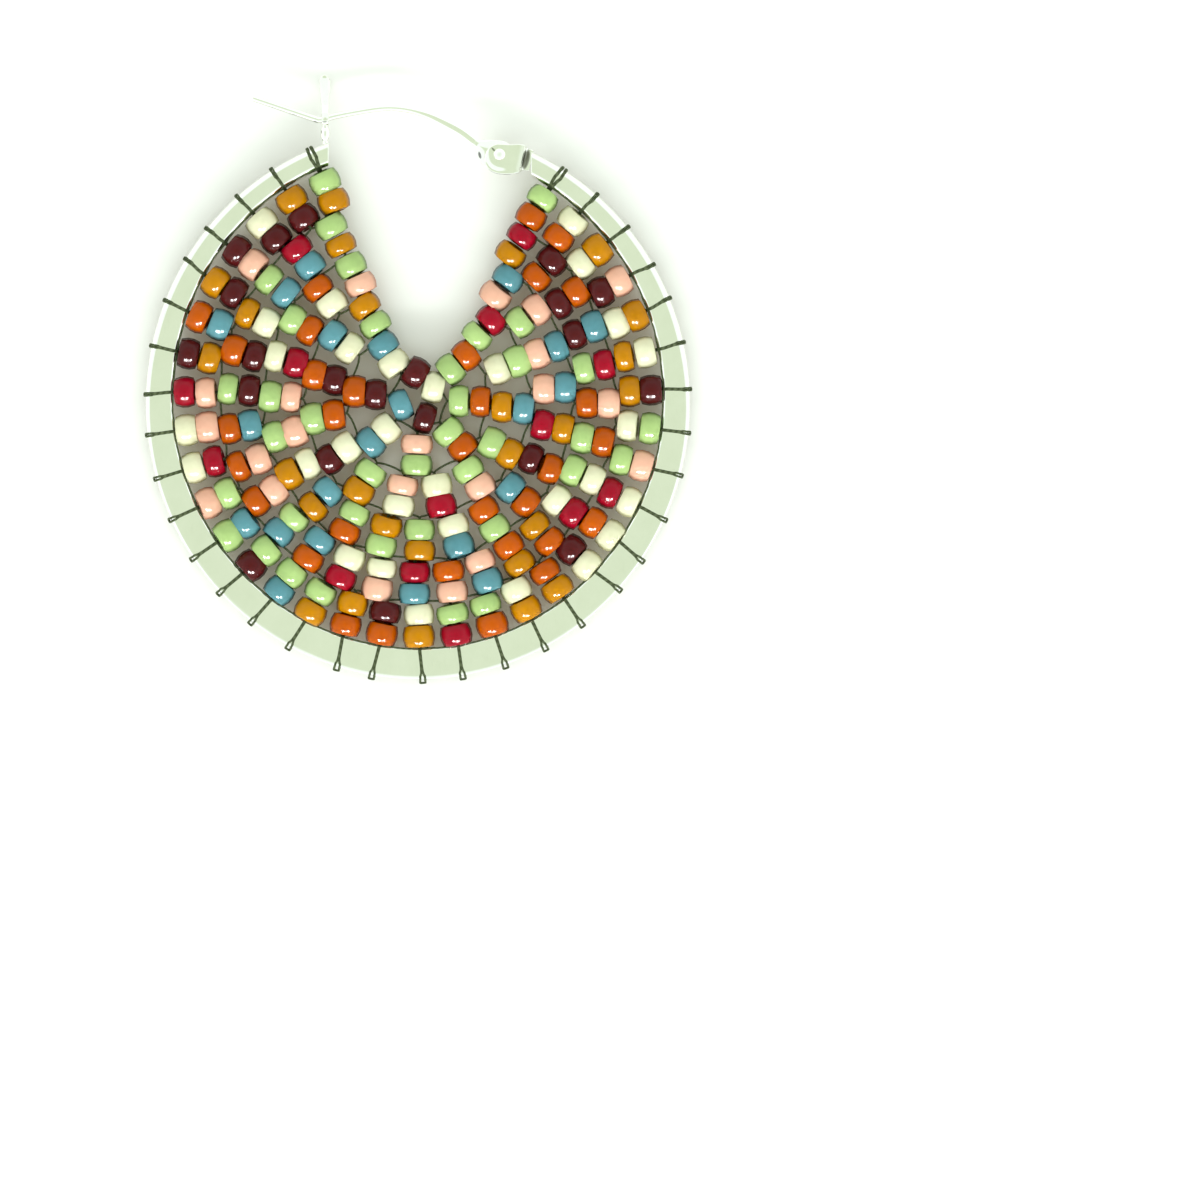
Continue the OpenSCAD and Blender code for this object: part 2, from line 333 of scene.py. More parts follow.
@dataclass(frozen=True)
class WaxedThread:
    """Two-ply nylon beading thread, waxed: dark grey green, with a soft shine, and a painted sheen in a
    lighter colour on the crest of each turn of its twist.
    """

    name: str = "waxed_nylon_thread"
    dark: str = "#363E27"
    # The colour of the painted sheen on the crests of the plies
    light: str = "#6B7557"
    roughness: float = 0.6
    shine: float = 0.12
    twist_mm: float = 0.55
    plies: int = 2
    ply_depth: float = 0.5
    ply_high_mm: float = 0.05
    wax_mm: float = 0.5

    def material(self) -> bpy.types.Material:
        """Builds the material.

        Returns:
            The material.
        """
        material, tree = new_material(self.name)
        along = add_node(tree, "ShaderNodeAttribute", attribute_name=Mark.ALONG.value)
        around = add_node(tree, "ShaderNodeAttribute", attribute_name=Mark.AROUND.value)
        turns = add_node(tree, "ShaderNodeMath", {
            0: along.outputs["Fac"], 1: math.tau / self.twist_mm}, operation="MULTIPLY")
        ply = add_node(tree, "ShaderNodeMath", {
            0: around.outputs["Fac"], 1: self.plies * math.tau, 2: turns.outputs["Value"]},
            operation="MULTIPLY_ADD")
        wave = add_node(tree, "ShaderNodeMath", {0: ply.outputs["Value"]}, operation="SINE")
        raised = add_node(tree, "ShaderNodeMapRange", {
            "Value": wave.outputs["Value"], "From Min": -1.0, "From Max": 1.0, "To Min": 0.0, "To Max": 1.0})
        place = add_node(tree, "ShaderNodeTexCoord").outputs["Object"]
        wax = add_node(tree, "ShaderNodeTexNoise", {
            "Vector": place, "Scale": per_mm(self.wax_mm), "Detail": 3.0})
        # Painted sheen: the colour goes lighter on the crest of each ply, patchy with the wax noise
        lift = add_node(tree, "ShaderNodeMath", {
            0: raised.outputs["Result"], 1: wax.outputs["Fac"]}, operation="MULTIPLY")
        colour = add_node(tree, "ShaderNodeMix", {
            MIX_FACTOR: lift.outputs["Value"], MIX_A: linear(self.dark), MIX_B: linear(self.light)},
            data_type="RGBA")
        bump = add_node(tree, "ShaderNodeBump", {
            "Height": raised.outputs["Result"], "Strength": self.ply_depth,
            "Distance": self.ply_high_mm * MM})
        shader = add_node(tree, "ShaderNodeBsdfPrincipled", {
            "Base Color": colour.outputs[MIX_COLOUR], "Roughness": self.roughness,
            "Specular IOR Level": self.shine, "Normal": bump.outputs["Normal"]})
        add_node(tree, "ShaderNodeOutputMaterial", {"Surface": shader.outputs["BSDF"]})
        return material


@dataclass(frozen=True)
class WhiteTabletop:
    """White acrylic of a light table: matt, and lit a little from below, so that no shadow on it is deep."""

    name: str = "white_acrylic_tabletop"
    colour: str = "#E0E3E1"
    glow_colour: str = "#FFCB80"
    glow: float = 0.07
    roughness: float = 0.75
    shine: float = 0.2

    def material(self) -> bpy.types.Material:
        """Builds the material.

        Returns:
            The material.
        """
        material, tree = new_material(self.name)
        shader = add_node(tree, "ShaderNodeBsdfPrincipled", {
            "Base Color": linear(self.colour), "Roughness": self.roughness, "Specular IOR Level": self.shine,
            "Emission Color": linear(self.glow_colour), "Emission Strength": self.glow})
        add_node(tree, "ShaderNodeOutputMaterial", {"Surface": shader.outputs["BSDF"]})
        return material


class Mark(Enum):
    """Names of the values that a mesh carries for its materials and its node trees."""

    TURN = "bead_turn"
    SIZE = "bead_size"
    GLASS = "bead_glass"
    SHADE = "bead_shade"
    ALONG = "thread_along"
    AROUND = "thread_around"


class Glass(Enum):
    """The eight glasses in the mix, each with the share of the beads that it gets."""

    RUST = (OpaqueGlass("rust_glass", "#B24F01", "#6A2800"), 15)
    OCHRE = (OpaqueGlass("ochre_glass", "#B57701", "#754700"), 16)
    CREAM = (OpaqueGlass("cream_glass", "#D6D5B6", "#AAA67B"), 12)
    PEACH = (OpaqueGlass("peach_glass", "#DCAA92", "#AD775F"), 12)
    LEAF = (OpaqueGlass("light_green_glass", "#A1BC77", "#617C3E"), 16)
    TEAL = (OpaqueGlass("teal_glass", "#578992", "#27545A"), 11)
    CRIMSON = (OpaqueGlass("crimson_glass", "#960721", "#53030F"), 9)
    MAROON = (OpaqueGlass("maroon_glass", "#4C1314", "#270708"), 11)

    @property
    def finish(self) -> OpaqueGlass:
        """The finish of this glass."""
        return self.value[0]

    @property
    def share(self) -> int:
        """How many beads in a hundred are of this glass."""
        return self.value[1]


class Slot(Enum):
    """The record's material slots."""

    HOOP = "hoop_metal"
    HINGE = "hinge_metal"
    WIRE = "wire_metal"
    BEADS = "glass_beads"
    THREAD = "thread"


class StainAndPaintedShade(Enum):
    """The dark marks: painted shadow of the wire on the fork's neck, painted shade on the left of the fork's
    solder ball, tarnish in the hinge's groove, painted shadow at the rivet's head on the cheek, and a painted
    dark reflection on the wire's paddle.

    Each has its middle on the flat drawing, half its width and half its length in mm, its turn in degrees
    and its colour.
    """

    # Painted shadow of the ear wire, on the fork just under where the wire crosses it
    FORK_WIRE_SHADOW = ((-8.76, 26.46), 0.24, 0.07, 0.0, "#7E8470")
    # Painted shade along the left side of the solder ball under the fork
    SOLDER_BALL_SHADE = ((-9.06, 25.54), 0.07, 0.17, 0.0, "#7E8274")
    GROOVE = ((10.22, 22.96), 0.34, 1.02, -14.0, "#3A3B12")
    # Painted shadow on the cheek at the upper left rim of the rivet's head
    RIVET_HEAD_SHADOW = ((7.15, 23.86), 0.1, 0.28, 45.0, "#6C7358")
    # Painted dark reflection on the paddle, beside the cheek's edge
    PADDLE_REFLECTION = ((5.84, 23.38), 0.14, 0.36, 16.0, "#4A4B45")


class Body(Enum):
    """The bodies that the pieces ride on."""

    HOOP = "hoop"
    EAR_WIRE = "ear_wire"


@dataclass(frozen=True)
class Laying:
    """Turns the flat drawing of the earring into its place on the table."""

    to_table: Matrix

    @classmethod
    def from_hinge(cls, joint: dict, rivet: Vector) -> "Laying":
        """Works the place out from the hinge, the one point and direction known both flat and laid.

        Args:
            joint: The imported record's hinge, in metres.
            rivet: The rivet's middle on the flat drawing, in millimetres.

        Returns:
            The laying.
        """
        tilt = UP.rotation_difference(Vector(joint["axis"])).to_matrix().to_4x4()
        place = Matrix.Translation(Vector(joint["pos_m"])) @ tilt @ Matrix.Scale(MM, 4)
        return cls(place @ Matrix.Translation(-rivet))

    def lay(self, mesh: bpy.types.Mesh) -> None:
        """Moves a mesh from the flat drawing to the table."""
        mesh.transform(self.to_table)

    def marks(self, *dark_marks: StainAndPaintedShade) -> tuple[TarnishAndPaintedShade, ...]:
        """Puts dark marks, tarnish and painted shade, in their places on the table.

        Args:
            dark_marks: The marks as they are on the flat drawing.

        Returns:
            The marks on the table, in the same order.
        """
        return tuple(TarnishAndPaintedShade(self.to_table @ Vector((*middle, 0.0)), *rest)
                     for middle, *rest in (dark_mark.value for dark_mark in dark_marks))


Ring = list[Vector]


def loft(rings: Sequence[Ring]) -> tuple[list[Vector], list[list[int]]]:
    """Joins rings of points into a closed skin with a flat face at each end.

    Args:
        rings: The rings, with the same number of points in each.

    Returns:
        The points and the faces.
    """
    count = len(rings[0])
    points = [point for ring in rings for point in ring]
    faces = [[row * count + (k + step) % count for k, step in ((side, 0), (side, 1))]
             + [(row + 1) * count + (side + 1) % count, (row + 1) * count + side]
             for row in range(len(rings) - 1) for side in range(count)]
    faces.append(list(range(count))[::-1])
    faces.append([(len(rings) - 1) * count + side for side in range(count)])
    return points, faces


def add_object(name: str, data: bpy.types.ID) -> bpy.types.Object:
    """Makes an object of a mesh, a light or a camera and links it to the scene."""
    made = bpy.data.objects.new(name, data)
    bpy.context.scene.collection.objects.link(made)
    return made


def make_piece(name: str, rings: Sequence[Ring]) -> bpy.types.Object:
    """Makes an object on the flat drawing from rings of points, with its faces outwards.

    Args:
        name: The piece's name.
        rings: The rings.

    Returns:
        The object.
    """
    points, faces = loft(rings)
    mesh = bpy.data.meshes.new(name)
    mesh.from_pydata(points, [], faces)
    skin = bmesh.new()
    skin.from_mesh(mesh)
    bmesh.ops.recalc_face_normals(skin, faces=skin.faces)
    skin.to_mesh(mesh)
    skin.free()
    return add_object(name, mesh)


def smooth(piece: bpy.types.Object, sharp_deg: float) -> None:
    """Shades a piece smoothly, but keeps edges sharper than this angle."""
    piece.data.shade_smooth()
    piece.data.set_sharp_from_angle(angle=math.radians(sharp_deg))


def join(pieces: Sequence[bpy.types.Object]) -> bpy.types.Object:
    """Joins pieces into the first one.

    Args:
        pieces: The pieces, each with its own mesh.

    Returns:
        The first piece, which now holds them all.
    """
    whole = bmesh.new()
    for piece in pieces:
        whole.from_mesh(piece.data)
    whole.to_mesh(pieces[0].data)
    whole.free()
    for piece in pieces[1:]:
        bpy.data.objects.remove(piece)
    return pieces[0]


def bar_ring(middle: Vector, across: Vector, out: Vector, half_w: float, half_t: float, squareness: float,
             sides: int) -> Ring:
    """Draws one ring of a bar, from a round one to a flat one with soft edges.

    Args:
        middle: The ring's middle.
        across: The direction of its width.
        out: The direction of its thickness.
        half_w: Half its width.
        half_t: Half its thickness.
        squareness: From OVAL to BOX.
        sides: Its number of points.

    Returns:
        The ring.
    """
    ring = []
    for k in range(sides):
        turn = math.tau * (k + 0.5) / sides
        x, y = math.cos(turn), math.sin(turn)
        reach = (abs(x) ** squareness + abs(y) ** squareness) ** (-1 / squareness)
        ring.append(middle + across * (x * reach * half_w) + out * (y * reach * half_t))
    return ring


def upright_rod(name: str, place: tuple[float, float], profile: Sequence[tuple[float, float]],
                sides: int) -> bpy.types.Object:
    """Makes a round rod that stands on the flat drawing.

    Args:
        name: The rod's name.
        place: Where it stands.
        profile: Its heights and the radius at each.
        sides: Its number of sides.

    Returns:
        The rod.
    """
    return make_piece(name, [bar_ring(Vector((*place, z)), RIGHT, AHEAD, radius, radius, OVAL, sides)
                             for z, radius in profile])


def settle_on(piece: bpy.types.Object, body: Body, nodes: Sequence[str] = ()) -> None:
    """Attaches a piece to the body that it rides on, and hides the nodes that it stands for."""
    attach(piece, body.value)
    if nodes:
        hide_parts(*nodes)


@dataclass(frozen=True)
class Dress:
    """What a metal piece gets when its mesh is done: its place, finish, body and node. Its slot is kept here
    but not given to it.
    """

    laying: Laying
    finish: SilverPlate
    body: Body
    slot: Slot
    node: str
    sharp_deg: float = 50.0

    def put_on(self, piece: bpy.types.Object) -> bpy.types.Object:
        """Lays the piece on the table and dresses it.

        Args:
            piece: The piece.

        Returns:
            The same piece.
        """
        self.laying.lay(piece.data)
        smooth(piece, self.sharp_deg)
        piece.data.materials.append(self.finish.material())
        settle_on(piece, self.body, [self.node])
        return piece


def evaluate(piece: bpy.types.Object) -> None:
    """Turns a piece with its modifiers into a plain mesh, and removes the modifiers."""
    depsgraph = bpy.context.evaluated_depsgraph_get()
    mesh = bpy.data.meshes.new_from_object(
        piece.evaluated_get(depsgraph), preserve_all_data_layers=True, depsgraph=depsgraph)
    piece.modifiers.clear()
    piece.data = mesh


def new_shape_tree(name: str, sizes: dict[str, Any]) -> tuple[bpy.types.NodeTree, bpy.types.Node]:
    """Makes a Geometry Nodes tree with named inputs.

    Args:
        name: The tree's name.
        sizes: For each input's name, its value from the start.

    Returns:
        The tree and its Group Input node.
    """
    tree = bpy.data.node_groups.new(name, "GeometryNodeTree")
    tree.interface.new_socket("Geometry", in_out="INPUT", socket_type="NodeSocketGeometry")
    for label, value in sizes.items():
        kind = "NodeSocketInt" if isinstance(value, int) else "NodeSocketFloat"
        tree.interface.new_socket(label, in_out="INPUT", socket_type=kind).default_value = value
    tree.interface.new_socket("Geometry", in_out="OUTPUT", socket_type="NodeSocketGeometry")
    return tree, add_node(tree, "NodeGroupInput")


def grow(seed: bpy.types.Object, tree: bpy.types.NodeTree, sizes: dict[str, Any]) -> None:
    """Runs a Geometry Nodes tree on an object and keeps the result as a plain mesh.

    Args:
        seed: The object, whose mesh holds the tree's points or lines.
        tree: The tree.
        sizes: Values for the tree's inputs, by name.
    """
    modifier = seed.modifiers.new(tree.name, "NODES")
    modifier.node_group = tree
    for item in tree.interface.items_tree:
        if item.in_out == "INPUT" and item.name in sizes:
            modifier[item.identifier] = sizes[item.name]
    evaluate(seed)


@dataclass
class HoopFrame:
    """The open hoop, a round tube pressed flat, with the fork catch soldered on its left end."""

    laying: Laying
    finish: SilverPlate
    hoop_w: float = 51.4
    hoop_h: float = 52.2
    window_w: float = 46.2
    window_h: float = 47.2
    window_up: float = 0.4
    tube_girth: float = 6.36
    left_end: float = 8.4
    right_end: float = 10.7
    rings: int = 320
    edge_points: int = 11
    edge_least: float = 0.1
    edge_most: float = 0.56
    edge_grows: float = 1.4
    thinnest_r: float = 0.245
    inner_edge_long: float = 0.5
    face_points: int = 5
    skewed_share: float = 0.05
    end_round: float = 0.06
    most_end_share: float = 0.9
    end_steps: tuple[tuple[float, float], ...] = ((2.2, 0.0), (1.0, 0.0), (0.3, 0.3), (0.0, 1.0))
    seat: tuple[float, float] = (-8.74, 26.7)
    fork_in_r: float = 0.42
    fork_t: float = 0.42
    bend_long: float = 0.42
    bend_drop: float = 0.05
    fork_w: float = 0.68
    fork_tip_w: float = 1.0
    fork_h: float = 4.1
    fork_spread: float = 4.9
    widen_from: float = 1.2
    prong_foot: tuple[tuple[float, float], ...] = (
        (0.0, 0.0), (0.22, 0.02), (0.5, 0.08), (0.8, 0.2), (1.3, 0.46))
    prong_steps: int = 16
    bend_steps: int = 12
    tip_thins: float = 0.45
    tip_least_w: float = 0.1
    fork_squareness: float = 4.0
    fork_sides: int = 12
    stem_foot_y: float = 24.2
    stem_profile: tuple[tuple[float, float], ...] = (
        (0.0, 0.42), (0.1, 0.37), (0.2, 0.33), (0.35, 0.29), (0.46, 0.29), (0.58, 0.33), (0.72, 0.4),
        (0.9, 0.45), (1.15, 0.47), (1.4, 0.47), (1.62, 0.43), (1.8, 0.34), (1.92, 0.27), (2.05, 0.25))
    stem_sides: int = 20

    def outer_edge(self, angle: float) -> Vector:
        """Gives the point of the hoop's outer edge at an angle in radians."""
        return Vector((self.hoop_w / 2 * math.cos(angle), self.hoop_h / 2 * math.sin(angle), 0.0))

    def inner_edge(self, angle: float) -> Vector:
        """Gives the point of the hoop's inner edge at an angle in radians."""
        up = self.window_up + self.window_h / 2 * math.sin(angle)
        return Vector((self.window_w / 2 * math.cos(angle), up, 0.0))

    def thickness(self, width: float) -> float:
        """Gives how thick the tube is where it is pressed this wide, because its girth stays the same."""
        return (self.tube_girth - 2 * width) / (math.pi - 2)

    def crossings(self, start: Vector, heading: Vector) -> tuple[Vector, Vector]:
        """Finds where a line from inside the hoop crosses its inner and its outer edge.

        Args:
            start: A point inside the window.
            heading: The line's direction, of length one.

        Returns:
            The points on the inner and the outer edge.
        """
        found = []
        ovals = ((self.window_w, self.window_h, self.window_up), (self.hoop_w, self.hoop_h, 0.0))
        for width, height, middle in ovals:
            x, y = 2 * start.x / width, 2 * (start.y - middle) / height
            dx, dy = 2 * heading.x / width, 2 * heading.y / height
            a, b, c = dx * dx + dy * dy, x * dx + y * dy, x * x + y * y - 1
            found.append(start + heading * ((math.sqrt(b * b - a * c) - b) / a))
        return found[0], found[1]

    def tube_ring(self, outer: Vector, inner: Vector, thick: float) -> Ring:
        """Draws one ring across the tube: two flat faces, a round outer edge and a tighter inner one.

        Args:
            outer: The point on the outer edge.
            inner: The point on the inner edge.
            thick: How thick the tube is there.

        Returns:
            The ring.
        """
        width = (outer - inner).length
        across = (outer - inner) / width
        radius = thick / 2
        outer_long = self.edge_least + self.edge_grows * max(radius - self.thinnest_r, 0.0)
        outer_long = min(outer_long, self.edge_most)
        inner_long = radius * self.inner_edge_long
        middle = (outer + inner) / 2
        ring = []
        for side, long, next_long in ((1, outer_long, inner_long), (-1, inner_long, outer_long)):
            face_from = side * (width / 2 - long)
            face_to = side * (next_long - width / 2)
            for k in range(self.edge_points):
                turn = math.radians(-90 + 180 * k / (self.edge_points - 1))
                reach = face_from + side * math.cos(turn) * long
                ring.append(middle + across * reach + UP * (side * math.sin(turn) * radius))
            for k in range(1, self.face_points):
                reach = face_from + (face_to - face_from) * k / self.face_points
                ring.append(middle + across * reach + UP * (side * radius))
        return ring

    def tube(self) -> bpy.types.Object:
        """Lofts the tube from the catch down round the hoop to the hinge, with both ends cut upright."""
        spans = []
        for half_w in (self.hoop_w / 2, self.window_w / 2):
            start = math.acos(-self.left_end / half_w)
            end = math.tau + math.acos(self.right_end / half_w)
            spans.append((start, end))
        (outer_start, outer_end), (inner_start, inner_end) = spans
        rings = []
        for k in range(self.rings + 1):
            share = k / self.rings
            angle = outer_start + (outer_end - outer_start) * share
            from_start = max(0.0, 1 - share / self.skewed_share) ** 2
            from_end = max(0.0, 1 - (1 - share) / self.skewed_share) ** 2
            skew = (inner_start - outer_start) * from_start + (inner_end - outer_end) * from_end
            outer = self.outer_edge(angle)
            thick = self.thickness((outer - self.inner_edge(angle)).length)
            rings.append(self.tube_ring(outer, self.inner_edge(angle + skew), thick))
        return make_piece("hoop_tube", self.rounded_ends(rings))

    def rounded_ends(self, rings: list[Ring]) -> list[Ring]:
        """Gives each cut end a small round rim: rings close to it, and a smaller one that closes it.

        Args:
            rings: The tube's rings.

        Returns:
            The rings with those of the rims.
        """
        for at_start in (True, False):
            last, before = (rings[0], rings[1]) if at_start else (rings[-1], rings[-2])
            middle = sum(last, Vector()) / len(last)
            step = self.end_round / (last[0] - before[0]).length
            closing = []
            for back, inset in self.end_steps:
                share = min(back * step, self.most_end_share)
                ring = [point.lerp(inner, share) for point, inner in zip(last, before)]
                drawn_in = self.end_round * inset
                closing.append([point + (middle - point).normalized() * drawn_in for point in ring])
            rings = closing[::-1] + rings[1:] if at_start else rings[:-1] + closing
        return rings

    def fork_line(self) -> list[tuple[float, float]]:
        """Gives the middle line of the fork's bent strip as heights and depths from the seat's middle."""
        bend_r = self.fork_in_r + self.fork_t / 2
        tip_z = (self.fork_spread - self.fork_t) / 2
        prong = [(y, bend_r + flare) for y, flare in self.prong_foot]
        straight = self.prong_steps
        low_y, low_z = prong[-1]
        prong += [(low_y + (self.fork_h - low_y) * k / straight, low_z + (tip_z - low_z) * k / straight)
                  for k in range(1, straight + 1)]
        turns = [math.radians(-180 * k / self.bend_steps) for k in range(self.bend_steps + 1)]
        bend = [(self.bend_long * math.sin(turn) - self.bend_drop, bend_r * math.cos(turn))
                for turn in turns]
        return [(y, z) for y, z in reversed(prong)] + bend + [(y, -z) for y, z in prong]

    def fork(self) -> bpy.types.Object:
        """Lofts the fork: a strip bent to a narrow U whose prongs spread and widen to rounded tips."""
        line = self.fork_line()
        tip_r = self.fork_tip_w / 2
        rings = []
        for k, (y, z) in enumerate(line):
            before, after = line[max(k - 1, 0)], line[min(k + 1, len(line) - 1)]
            ahead = Vector((0.0, after[0] - before[0], after[1] - before[1])).normalized()
            out = ahead.cross(RIGHT)
            widening = min(max((y - self.widen_from) / (self.fork_h - tip_r - self.widen_from), 0.0), 1.0)
            half_w = self.fork_w / 2 + (self.fork_tip_w - self.fork_w) / 2 * widening
            half_t = self.fork_t / 2
            past = y - (self.fork_h - tip_r)
            if past > 0:
                half_w = math.sqrt(max(tip_r ** 2 - past ** 2, self.tip_least_w ** 2))
                half_t *= 1 - self.tip_thins * (past / tip_r) ** 3
            middle = Vector((self.seat[0], self.seat[1] + y, z))
            rings.append(bar_ring(middle, RIGHT, out, half_w, half_t, self.fork_squareness, self.fork_sides))
        return make_piece("fork", rings)

    def stem(self) -> bpy.types.Object:
        """Lofts the stem under the fork: a foot of solder, a waist and a small ball."""
        rings = []
        for y, radius in self.stem_profile:
            middle = Vector((self.seat[0], self.stem_foot_y + y, 0.0))
            rings.append(bar_ring(middle, RIGHT, UP, radius, radius, OVAL, self.stem_sides))
        return make_piece("fork_stem", rings)

    def build(self) -> bpy.types.Object:
        """Builds the hoop and dresses it.

        Returns:
            The piece.
        """
        piece = join([self.tube(), self.fork(), self.stem()])
        piece.name = "silver_hoop"
        return Dress(self.laying, self.finish, Body.HOOP, Slot.HOOP, "hoop_frame").put_on(piece)


def circle_points(middle: Sequence[float], radius: float, count: int = 40) -> list[tuple[float, float]]:
    """Gives points round a circle on the flat drawing."""
    turns = [math.tau * k / count for k in range(count)]
    return [(middle[0] + radius * math.cos(turn), middle[1] + radius * math.sin(turn)) for turn in turns]


@dataclass(frozen=True)
class Plate:
    """A small plate with soft rims, whose faces fall off from its spine towards its outline."""

    points: list[tuple[float, float]]
    low: float
    high: float
    spine: tuple[tuple[float, float], tuple[float, float]]
    soft: float = 0.08
    crown: float = 0.1
    crown_share: float = 0.35
    crown_steps: tuple[float, ...] = (0.0, 0.34, 0.67, 1.0)
    rim_step: float = 0.3

    def rings(self) -> list[Ring]:
        """Draws the rings of the plate, from its back to its front, round the hull of its points."""
        outline = [Vector(self.points[k]) for k in convex_hull_2d([Vector(point) for point in self.points])]
        feet = []
        for point in outline:
            foot, share = intersect_point_line(point.to_3d(), *[Vector((*end, 0.0)) for end in self.spine])
            feet.append(foot.xy if 0.0 < share < 1.0 else Vector(self.spine[share >= 1.0]))
        soft, crown = self.soft, self.crown
        steps = [(crown * part, soft, self.crown_share * (1 - part)) for part in self.crown_steps]
        steps += [(crown + self.rim_step * soft, self.rim_step * soft, 0.0), (crown + soft, 0.0, 0.0)]
        levels = [(self.low + drop, inset, share) for drop, inset, share in steps]
        levels += [(self.high - drop, inset, share) for drop, inset, share in reversed(steps)]
        rings = []
        for z, inset, share in levels:
            ring = []
            for point, foot in zip(outline, feet):
                part = (1 - inset / (point - foot).length) * (1 - share)
                ring.append(Vector((*foot.lerp(point, part), z)))
            rings.append(ring)
        return rings


def combine(piece: bpy.types.Object, parts: Sequence[bpy.types.Object], operation: str) -> None:
    """Adds parts to a piece, or cuts them out of it, and removes the parts.

    Args:
        piece: The piece.
        parts: The parts.
        operation: UNION or DIFFERENCE.
    """
    for part in parts:
        step = piece.modifiers.new(part.name, "BOOLEAN")
        step.operation = operation
        step.solver = "EXACT"
        step.object = part
    evaluate(piece)
    for part in parts:
        bpy.data.objects.remove(part)


def stamped_ring(middle: Vector, across: Vector, half_w: float, half_t: float, edge: float, face_points: int,
                 corner_steps: int = 4, most_edge: float = 0.8) -> Ring:
    """Draws one ring of a stamped strip: two flat faces, two upright sides and four small round edges.

    Args:
        middle: The ring's middle.
        across: The direction of its width.
        half_w: Half its width.
        half_t: Half its thickness.
        edge: The radius of its edges.
        face_points: The number of steps across each face.
        corner_steps: The number of steps round each edge.
        most_edge: The largest share of half the width or thickness that an edge takes.

    Returns:
        The ring.
    """
    radius = min(edge, most_edge * half_w, most_edge * half_t)
    flat_w, flat_t = half_w - radius, half_t - radius
    outline = []
    for x, y, start in ((1, 1, 0), (-1, 1, 90), (-1, -1, 180), (1, -1, 270)):
        for k in range(corner_steps + 1):
            turn = math.radians(start + 90 * k / corner_steps)
            outline.append((x * flat_w + radius * math.cos(turn), y * flat_t + radius * math.sin(turn)))
        if start in (0, 180):
            outline += [(x * flat_w * (1 - 2 * k / face_points), y * half_t) for k in range(1, face_points)]
    return [middle + across * x + UP * y for x, y in outline]


